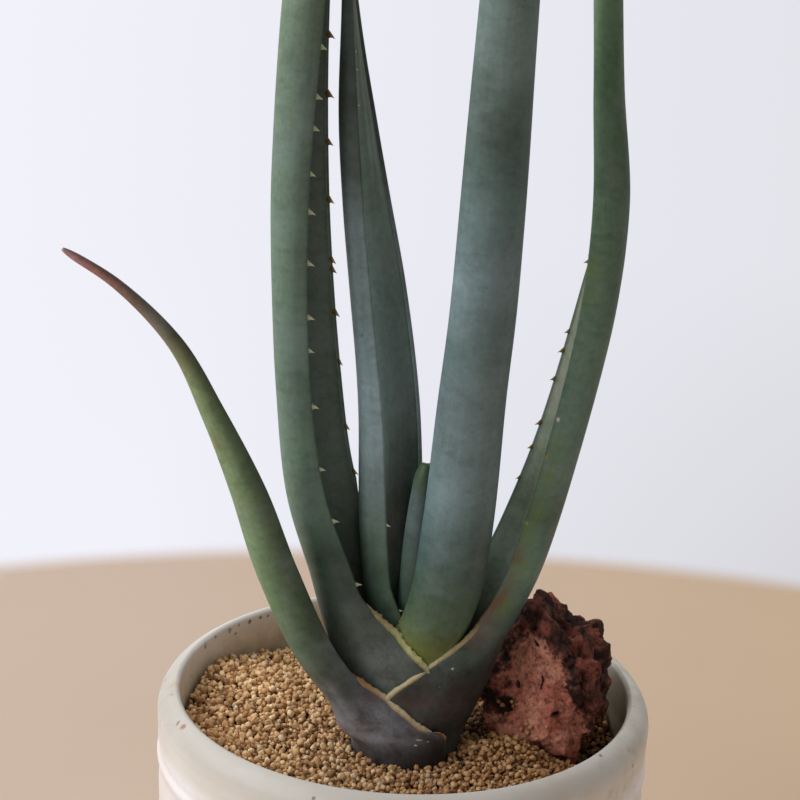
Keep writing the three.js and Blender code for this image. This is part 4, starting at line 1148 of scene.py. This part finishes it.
def stoneFinish():
    f = Finish("lavaRock", roughness=0.92, Specular_IOR_Level=0.22)
    pink, poreShade, knob = f.tint("Red"), f.tint("Green"), f.tint("Blue")
    patch = f.cloud(90, 5, 0.65, distortion=0.6)
    wide = f.cloud(38, 4, 0.6, distortion=0.5)
    fine = f.cloud(620, 6, 0.75)
    rough = f.blend(f.range(patch, 0.4, 0.62), tone(64, 44, 39), tone(162, 92, 76))
    rough = f.blend(f.range(wide, 0.42, 0.62, 0, 0.5), rough, tone(70, 52, 47))
    face = f.blend(f.range(patch, 0.38, 0.62), tone(200, 126, 106), tone(232, 166, 140))
    red = f.cloud(75, 5, 0.7, distortion=0.3)
    face = f.blend(f.range(red, 0.46, 0.62, 0, 0.7), face, tone(190, 104, 88))
    face = f.blend(f.range(f.cloud(210, 4, 0.7), 0.54, 0.66, 0, 0.6), face, tone(120, 60, 54))
    # painted shade toward the face's foot and its right side, which also makes it redder
    where = f.node("SeparateXYZ", Vector=f.place())
    low = f.range(f.maths("SUBTRACT", where.outputs["Z"], where.outputs["X"]), 0.078, 0.062, 0, 0.45)
    face = f.shaded(low, face, (0.74, 0.5, 0.5))
    # painted highlight on the small knobs
    base = f.blend(knob, rough, tone(176, 104, 88))
    base = f.blend(f.range(f.maths("ADD", pink, f.range(fine, 0.3, 0.7, -0.3, 0.3)), 0.2, 0.8), base, face)
    base = f.mottled(fine, base, (0.52, 0.72, 0.7), (1.4, 1.34, 1.3), (0.5, 0.36, 0.9), (0.4, 0.34, 0.33))
    # painted shade in the small pits, and in the pores, sunken places and hollows that the tints mark
    pits = f.cells(340)
    base = f.shaded(f.range(pits.outputs["Distance"], 0.32, 0.12, 0, 0.6), base, (0.4, 0.34, 0.34))
    base = f.stained(base, poreShade, 0.9, (24, 17, 15))
    normal = f.relief(pits.outputs["Distance"], 0.55, 0.0009)
    normal = f.relief(fine, 0.9, 0.0012, normal)
    normal = f.relief(f.cloud(1500, 4, 0.7), 0.5, 0.0004, normal)
    return f.finish(base, normal)


def depthInside(spots, outline):
    # how far inside a closed outline each spot is, in mm, negative outside it
    away = np.full(len(spots), 1e9)
    inside = np.zeros(len(spots), bool)
    for (ax, ay), (bx, by) in zip(outline, outline[1:] + outline[:1]):
        run, rise = bx - ax, by - ay
        t = np.clip(((spots[:, 0] - ax) * run + (spots[:, 1] - ay) * rise) / (run * run + rise * rise), 0, 1)
        away = np.minimum(away, np.hypot(spots[:, 0] - ax - t * run, spots[:, 1] - ay - t * rise))
        crosses = (ay > spots[:, 1]) != (by > spots[:, 1])
        inside ^= crosses & (spots[:, 0] < ax + run * (spots[:, 1] - ay) / (rise if rise else 1e-9))
    return np.where(inside, away, -away)


def makeStone():
    ball = bmesh.new()
    bmesh.ops.create_icosphere(ball, subdivisions=stone["detail"], radius=1)
    centre = Vector(stone["centre"])
    forms = [stoneShape(vert.co.normalized()) for vert in ball.verts]
    ragged = [2.2 * noise.fractal(p * 0.25 + Vector((3, 1, 8)), 1.0, 2.0, 3) for p in forms]
    seen = np.array([(p.x + centre.x, p.z + centre.z - rimTop) for p in forms])
    front = np.array([smooth((2 - p.y) / 5) for p in forms])
    fresh = np.clip((depthInside(seen, stone["pink"]) + np.array(ragged) + 1.6) / 3.6, 0, 1) * front
    shift = Vector((0, 0, rimTop)) - centre
    marks = [(Vector(a) + shift, Vector(b) - Vector(a), *rest) for a, b, *rest in stone["marks"]]
    points, tints = [], []
    for p, pink in zip(forms, fresh):
        way = Vector([c / size for c, size in zip(p, stone["skin"])]).normalized()
        near, _ = noise.voronoi(p * 0.42)
        wide, _ = noise.voronoi(p * 0.19 + Vector((7, 3, 5)))
        clinker = 1 - pink
        lumps = smooth((0.8 - wide[0]) / 0.8) * clinker
        pits = smooth((near[0] - 0.46) / 0.35) * (0.2 + 0.8 * clinker)
        rough = noise.fractal(p * 0.3, 1.0, 2.1, 4)
        grain = noise.fractal(p * 1.1, 0.9, 2.0, 3)
        lift, lit, hole = 0.0, 0.0, 0.0
        for start, run, radius, rise in marks:
            share = min(max((p - start).dot(run) / max(run.length_squared, 1e-9), 0), 1)
            span = (p - start - run * share).length / radius
            if span < 1.6:
                dome = math.exp(-span ** 4 * 1.2)
                lift += rise * dome
                # small knobs get a painted highlight
                lit = max(lit, dome * (rise > 0 and radius < stone["knobLimit"]))
                hole = max(hole, dome * (rise < 0))
        moved = lumps * 1.2 - pits * 0.9 + rough * (0.8 - 0.2 * pink) + grain * (0.36 - 0.12 * pink) + lift
        points.append(p + way * (moved - 0.6 - 0.4 * pink) + centre)
        # painted shade in the pits, sunken places and hollows
        cavityShade = min(max(pits * 0.9 - rough * 0.6 - 0.1, 0), 1) * (1 - 0.75 * pink)
        tints.append((pink * (1 - hole), max(cavityShade * (1 - lit), hole * 0.8), lit * 0.8, 1))
    faces = [[v.index for v in face.verts] for face in ball.faces]
    ball.free()
    piece = meshFrom("lavaStone", points, faces, tints=tints, materials=(stoneFinish(),))
    settle(piece, "lava_rock", "lava_stone")
    return piece


stonePiece = makeStone()
say("lava stone")

# the soil is a bed, painted dark as shade between the grains, under two layers of loose fired-clay grains

soil = {
    "drop": 15.3,
    # x, y, rise, spread
    "heaps": [(-38, 12, 4, 16), (32, -17, 6, 7.5), (-62, 29, 5, 10), (60, 2, -14, 11)],
    "hills": (0.9, 0.11),  # height and closeness of the small hills
    "rings": 60, "around": 120,
    "depth": 3.4,  # of the loose grains over the bed
    "grain": (0.46, 1.22),  # radius
    "smallness": 1.35,  # over 1 there are more small ones
    "models": 20, "broken": 4,  # different grains, and flat sides on each
    "tries": 22000,
    "choices": 3,  # each grain rolls to the lowest of so many places
    "cell": 2.9,  # more than two of the largest grains' reach
    "closeness": 0.84,
    "proud": (0.0, 1.5),  # how far over the surface a grain may lie
    "upperDepth": 1.5,  # grains less deep than this have more faces
    "stemRoom": 15.2, "solidRoom": 0.6,  # to the stem, and to stone and leaves in grain sizes
    # painted shade where the grains lie in shadow: x, y, spread, amount
    "paintedShade": [(23.5, -1, 6.5, 1), (60, 0, 9, 1), (64, -12, 6, 0.6), (22, 8, 9, 0.95)],
    # grains that rolled onto the stone's ledges: x, y, height over the rim
    "strays": [(30.2, -4.7, -3.2), (31.2, -6.2, -5.2), (32.7, -6.5, -0.9), (28.7, -3.1, -2.8),
               (30.5, -5.5, -7), (33, -7.5, -3), (36.5, -11, -5.9), (38, -12.4, -6.4), (42.6, -15.6, -4.3),
               (35.5, -10.5, -8.2), (37.2, -11.5, -8.8)],
}
soilOuter = pot["radius"] - pot["wall"] - 0.3


def soilTop(x, y):
    top = rimTop - soil["drop"]
    for hx, hy, rise, spread in soil["heaps"]:
        top += rise * math.exp(-((x - hx) ** 2 + (y - hy) ** 2) / spread ** 2 / 2)
    tall, close = soil["hills"]
    return top + tall * noise.noise(Vector((x * close, y * close, 6)))


def grainFinish():
    f = Finish("firedClayGrains", roughness=0.94, Specular_IOR_Level=0.18)
    base = f.ramp(f.tint("Red"), [(0, tone(158, 122, 86)), (0.3, tone(214, 172, 126)),
                                  (0.65, tone(234, 198, 152)), (0.95, tone(246, 218, 178)),
                                  (1, tone(218, 204, 176))])
    # painted shade: browner and darker to the right; painted light: paler to the left; painted shade where
    # grains lie in shadow
    side = f.node("SeparateXYZ", Vector=f.place()).outputs["X"]
    base = f.shaded(f.range(side, -0.045, 0.045, 0, 0.9), base, (0.7, 0.55, 0.44))
    base = f.shaded(f.flipped(f.tint("Alpha")), base, (0.16, 0.14, 0.12))
    base = f.shaded(f.range(side, -0.01, -0.06, 0, 0.9), base, (1.4, 1.4, 1.4))
    fine = f.cloud(1500, 4, 0.7)
    soft = f.cloud(420, 3, 0.6)
    base = f.shaded(f.range(soft, 0.35, 0.65, 0, 0.6), base, (0.66, 0.58, 0.5))
    base = f.blend(f.range(fine, 0.54, 0.72, 0, 0.35), base, tone(226, 204, 168))
    base = f.shaded(f.range(fine, 0.46, 0.3, 0, 0.7), base, (0.6, 0.54, 0.48))
    normal = f.relief(fine, 0.8, 0.0005)
    return f.finish(base, f.relief(soft, 0.5, 0.0008, normal))


def bedFinish():
    f = Finish("grainBed", roughness=0.95, Specular_IOR_Level=0.15)
    # painted shade: the bed is dark, darkest round the edges of its little cells
    grains = f.cells(430)
    shade = f.range(grains.outputs["Distance"], 0.15, 0.7)
    base = f.blend(shade, tone(74, 54, 36), tone(22, 16, 12))
    base = f.blend(f.range(f.cloud(240, 4, 0.6), 0.4, 0.65, 0, 0.5), base, tone(48, 36, 26))
    return f.finish(base, f.relief(f.flipped(grains.outputs["Distance"]), 0.9, 0.0012))


def makeBed():
    bottom, around, rings = pot["floor"] + 1.6, soil["around"], soil["rings"]
    points = [(0, 0, soilTop(0, 0) - soil["depth"])]
    for r in range(rings):
        for x, y, _ in ringOf(soilOuter * (r + 1) / rings, 0, around):
            bump = 0.8 * noise.noise(Vector((x * 0.8, y * 0.8, 3)))
            points.append((x, y, soilTop(x, y) - soil["depth"] + bump))
    for inset, rise in ((0, 8.4), (2.4, 2.4), (8.4, 0)):
        points += ringOf(soilOuter - inset, bottom + rise, around)
    points.append((0, 0, bottom))
    piece = meshFrom("grainBed", points, turnedFaces(rings + 3, around, flip=True), materials=(bedFinish(),))
    settle(piece, "fired_clay_grains", "soil")


def grainModels(detail, seed):
    # unit grains, each a lumpy, slightly broken little ball
    models = []
    for n in range(soil["models"]):
        ball = bmesh.new()
        bmesh.ops.create_icosphere(ball, subdivisions=detail, radius=1)
        squash = (1.12, 0.82 + 0.26 * noise.random(), 0.66 + 0.3 * noise.random())
        breaks = [(noise.random_unit_vector(), 0.45 + 0.35 * noise.random()) for _ in range(soil["broken"])]
        shape = []
        for vert in ball.verts:
            shift = Vector((n * 5.1, seed, 0))
            lump = 1 + 0.42 * noise.noise(vert.co * 1.3 + shift) + 0.42 * noise.noise(vert.co * 3.1 + shift)
            spot = Vector([c * s * lump for c, s in zip(vert.co, squash)])
            for side, reach in breaks:
                spot -= side * max(spot.dot(side) - reach, 0) * 0.85
            shape.append(spot)
        faces = np.array([[v.index for v in face.verts] for face in ball.faces])
        models.append((np.array(shape), faces))
        ball.free()
    return models


def grainMesh(name, spots, models, finish, rng):
    points, faces, tints, first = [], [], [], 0
    for x, y, z, size in spots:
        shape, corners = models[rng.integers(len(models))]
        q = rng.normal(size=4)
        w, i, j, k = q / np.linalg.norm(q)
        turn = np.array([[1 - 2 * (j * j + k * k), 2 * (i * j - k * w), 2 * (i * k + j * w)],
                         [2 * (i * j + k * w), 1 - 2 * (i * i + k * k), 2 * (j * k - i * w)],
                         [2 * (i * k - j * w), 2 * (j * k + i * w), 1 - 2 * (i * i + j * j)]])
        points.append(shape @ turn.T * size + (x, y, z))
        faces.append(corners + first)
        paintedShade = max(amount * math.exp(-((x - dx) ** 2 + (y - dy) ** 2) / spread ** 2)
                   for dx, dy, spread, amount in soil["paintedShade"])
        tints.append(np.tile((rng.random(), rng.random(), rng.random(), 1 - paintedShade), (len(shape), 1)))
        first += len(shape)
    piece = meshFrom(name, np.concatenate(points), np.concatenate(faces), tints=np.concatenate(tints),
                     materials=(finish,))
    settle(piece, "fired_clay_grains")
    return len(piece.data.polygons)


def solidTests():
    # the trees tell how near a grain would be to the stone and to the lowest leaf bases
    trees = []
    for piece in (stonePiece, bpy.data.objects["aloeLeaf_lowLeft"], bpy.data.objects["aloeLeaf_right"]):
        places = [vert.co / mm for vert in piece.data.vertices]
        trees.append(BVHTree.FromPolygons(places, [face.vertices for face in piece.data.polygons]))
    return trees


def isBlocked(x, y, z, size, trees):
    spot = Vector((x, y, z))
    for tree in trees:
        near, normal, _, distance = tree.find_nearest(spot, 6)
        if near is not None and ((spot - near).dot(normal) < 0 or distance < size * soil["solidRoom"]):
            return True
    return False


def pileGrains(rng, trees):
    # grains drop one by one and rest on those below them, until the bed is full
    cell, piled, spots = soil["cell"], {}, []

    def restAt(x, y, size):
        rest = soilTop(x, y) - soil["depth"]
        column, row = int(x // cell), int(y // cell)
        for i in (column - 1, column, column + 1):
            for j in (row - 1, row, row + 1):
                for gx, gy, gz, held in piled.get((i, j), ()):
                    reach = (size + held) * soil["closeness"]
                    span = (x - gx) ** 2 + (y - gy) ** 2
                    if span < reach * reach:
                        rest = max(rest, gz + math.sqrt(reach * reach - span))
        return rest

    least, most = soil["grain"]
    for _ in range(soil["tries"]):
        size = least + (most - least) * rng.random() ** soil["smallness"]
        places = []
        for _ in range(soil["choices"]):
            reach, turn = (soilOuter - size) * math.sqrt(rng.random()), rng.uniform(0, 2 * math.pi)
            x, y = reach * math.cos(turn), reach * math.sin(turn)
            z = restAt(x, y, size)
            places.append((z - soilTop(x, y), x, y, z))
        over, x, y, z = min(places)
        isProud = over > rng.uniform(*soil["proud"])
        isInStem = math.hypot(x - plantX, y - plantY) < soil["stemRoom"]
        if isProud or isInStem or isBlocked(x, y, z, size, trees):
            continue
        spots.append((x, y, z, size))
        piled.setdefault((int(x // cell), int(y // cell)), []).append((x, y, z, size))
    return spots


def strayGrains(stoneTree):
    spots = []
    for n, (x, y, z) in enumerate(soil["strays"]):
        size = 0.75 + 0.2 * math.sin(n * 2.1)
        near, normal, _, _ = stoneTree.find_nearest(Vector((x, y - 1, z + rimTop)))
        spots.append((*(near + normal * size * 0.75), size))
    return spots


def makeSoil():
    finish = grainFinish()
    makeBed()
    rng = np.random.default_rng(7)
    trees = solidTests()
    noise.seed_set(11)
    lower, upper = [], []
    for spot in pileGrains(rng, trees):
        isDeep = spot[2] < soilTop(spot[0], spot[1]) - soil["upperDepth"]
        (lower if isDeep else upper).append(spot)
    upper.sort(key=lambda spot: spot[1])
    third = len(upper) // 3
    plain, fine = grainModels(1, 3), grainModels(2, 8)
    count = 0
    for name, spots, models in (("grains_lower", lower, plain),
                                ("grains_upper_front", upper[:third] + strayGrains(trees[0]), fine),
                                ("grains_upper_middle", upper[third:2 * third], fine),
                                ("grains_upper_back", upper[2 * third:], fine)):
        count += grainMesh(name, spots, models, finish, rng)
    say(f"soil: {len(lower)} + {len(upper)} grains, {count} faces")


makeSoil()

# the stem and the drain net keep their CAD shapes and get a finish

def stemFinish():
    f = Finish("stemFibre", roughness=0.85, Specular_IOR_Level=0.2)
    stretch = f.node("Mapping", Vector=f.place(), Scale=(1, 1, 0.2))
    fibre = f.cloud(500, 5, 0.65, stretch.outputs[0])
    base = f.blend(f.range(fibre, 0.35, 0.65), tone(96, 78, 52), tone(150, 128, 90))
    base = f.blend(f.range(f.cloud(90, 4, 0.6), 0.45, 0.65, 0, 0.6), base, tone(84, 62, 44))
    return f.finish(base, f.relief(fibre, 0.6, 0.0006))


def netFinish():
    f = Finish("netPlastic", roughness=0.55, Specular_IOR_Level=0.4)
    grain = f.cloud(900, 3, 0.5)
    base = f.blend(f.range(grain, 0.35, 0.65), tone(38, 38, 40), tone(54, 54, 56))
    base = f.blend(f.range(f.cloud(120, 4, 0.6), 0.5, 0.7, 0, 0.5), base, tone(110, 92, 72))
    return f.finish(base, f.relief(grain, 0.3, 0.0002), f.range(grain, 0.3, 0.7, 0.45, 0.65))


def dressNode(node, material):
    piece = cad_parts[node]
    for slot in piece.material_slots:
        slot.material = material
    if not piece.material_slots:
        piece.data.materials.append(material)


dressNode("stem", stemFinish())
dressNode("drain_net", netFinish())
say("stem and net")

# floor, lights and sky

stage = {
    "floorCentre": (24, -181, 0), "floorRadius": 618, "floorFade": 26,
    "floorLeft": (203, 181, 165), "floorRight": (200, 172, 144),
    # softboxes: watts, direction round, direction up, width in m, colour
    "lights": {
        "windowSoftbox": (16, 201, 30, 1.4, (0.95, 0.98, 1)),
        "cornerSoftbox": (10, 150, 40, 1.4, (0.95, 0.98, 1)),
        "doorSoftbox": (6, 60, 30, 1.4, (0.98, 0.985, 1)),
    },
    "lightDistance": 1.5, "lightAim": 0.2,  # m
    "skyLight": 0.38, "skyColour": (1, 0.965, 0.92),
    "skyLeft": (242, 242, 251), "skyRight": (227, 227, 234), "skyLow": (214, 214, 220),
}


def makeStage():
    f = Finish("paleFloor", roughness=0.62, Specular_IOR_Level=0.3)
    soft = f.cloud(5, 3, 0.5)
    where = f.node("SeparateXYZ", Vector=f.place())
    toRight = f.range(where.outputs["X"], -0.2, 0.25)
    base = f.blend(toRight, tone(*stage["floorLeft"]), tone(*stage["floorRight"]))
    base = f.shaded(f.range(soft, 0.3, 0.7), base, (0.96, 0.95, 0.93))
    material = f.finish(base, f.relief(f.cloud(300, 4, 0.6), 0.05, 0.0003))
    # the far edge melts into the background
    centre, radius = Vector(stage["floorCentre"]) * mm, stage["floorRadius"] * mm
    edge = f.range(f.distance(f.place(), centre), radius - stage["floorFade"] * mm, radius)
    f.feed(f.skin.inputs["Alpha"], f.flipped(edge))
    disc = bmesh.new()
    bmesh.ops.create_circle(disc, cap_ends=True, segments=256, radius=radius,
                            matrix=Matrix.Translation(centre))
    floor = pieceFrom("paleFloor", disc)
    floor.data.materials.append(material)


def makeLights():
    for name, (power, around, above, size, colour) in stage["lights"].items():
        data = bpy.data.lights.new(name, "AREA")
        data.energy, data.size, data.color = power, size, colour
        lamp = linked(name, data)
        turn, lift = math.radians(around), math.radians(above)
        way = Vector((math.cos(turn) * math.cos(lift), math.sin(turn) * math.cos(lift), math.sin(lift)))
        lamp.location = way * stage["lightDistance"] + Vector((0, 0, stage["lightAim"]))
        lamp.rotation_euler = way.to_track_quat("Z", "Y").to_euler()


def makeSky():
    world = bpy.data.worlds.new("paleSky")
    bpy.context.scene.world = world
    world.use_nodes = True
    nodes, links = world.node_tree.nodes, world.node_tree.links
    where = nodes.new("ShaderNodeTexCoord")
    parts = nodes.new("ShaderNodeSeparateXYZ")
    links.new(where.outputs["Generated"], parts.inputs[0])

    def spread(axis, low, high, first, second):
        made, shade = nodes.new("ShaderNodeMapRange"), nodes.new("ShaderNodeMix")
        shade.data_type = "RGBA"
        made.inputs["From Min"].default_value, made.inputs["From Max"].default_value = low, high
        links.new(parts.outputs[axis], made.inputs["Value"])
        links.new(made.outputs[0], shade.inputs["Factor"])
        for socket, value in (("A", first), ("B", second)):
            if isinstance(value, bpy.types.NodeSocket):
                links.new(value, shade.inputs[socket])
            else:
                shade.inputs[socket].default_value = tone(*value)
        return shade.outputs["Result"]

    upper = spread("X", -0.17, 0.17, stage["skyLeft"], stage["skyRight"])
    lower = spread("X", -0.1, 0.17, stage["skyLeft"], stage["skyLow"])
    shade = spread("Z", -0.27, -0.39, upper, lower)
    seen, lit = nodes["Background"], nodes.new("ShaderNodeBackground")
    links.new(shade, seen.inputs["Color"])
    lit.inputs["Color"].default_value = (*stage["skyColour"], 1)
    lit.inputs["Strength"].default_value = stage["skyLight"]
    ray, both = nodes.new("ShaderNodeLightPath"), nodes.new("ShaderNodeMixShader")
    links.new(ray.outputs["Is Camera Ray"], both.inputs[0])
    links.new(lit.outputs[0], both.inputs[1])
    links.new(seen.outputs[0], both.inputs[2])
    links.new(both.outputs[0], nodes["World Output"].inputs["Surface"])


makeStage()
makeLights()
makeSky()
bpy.context.scene.view_settings.view_transform = "Standard"
say("stage")

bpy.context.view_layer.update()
say("done")
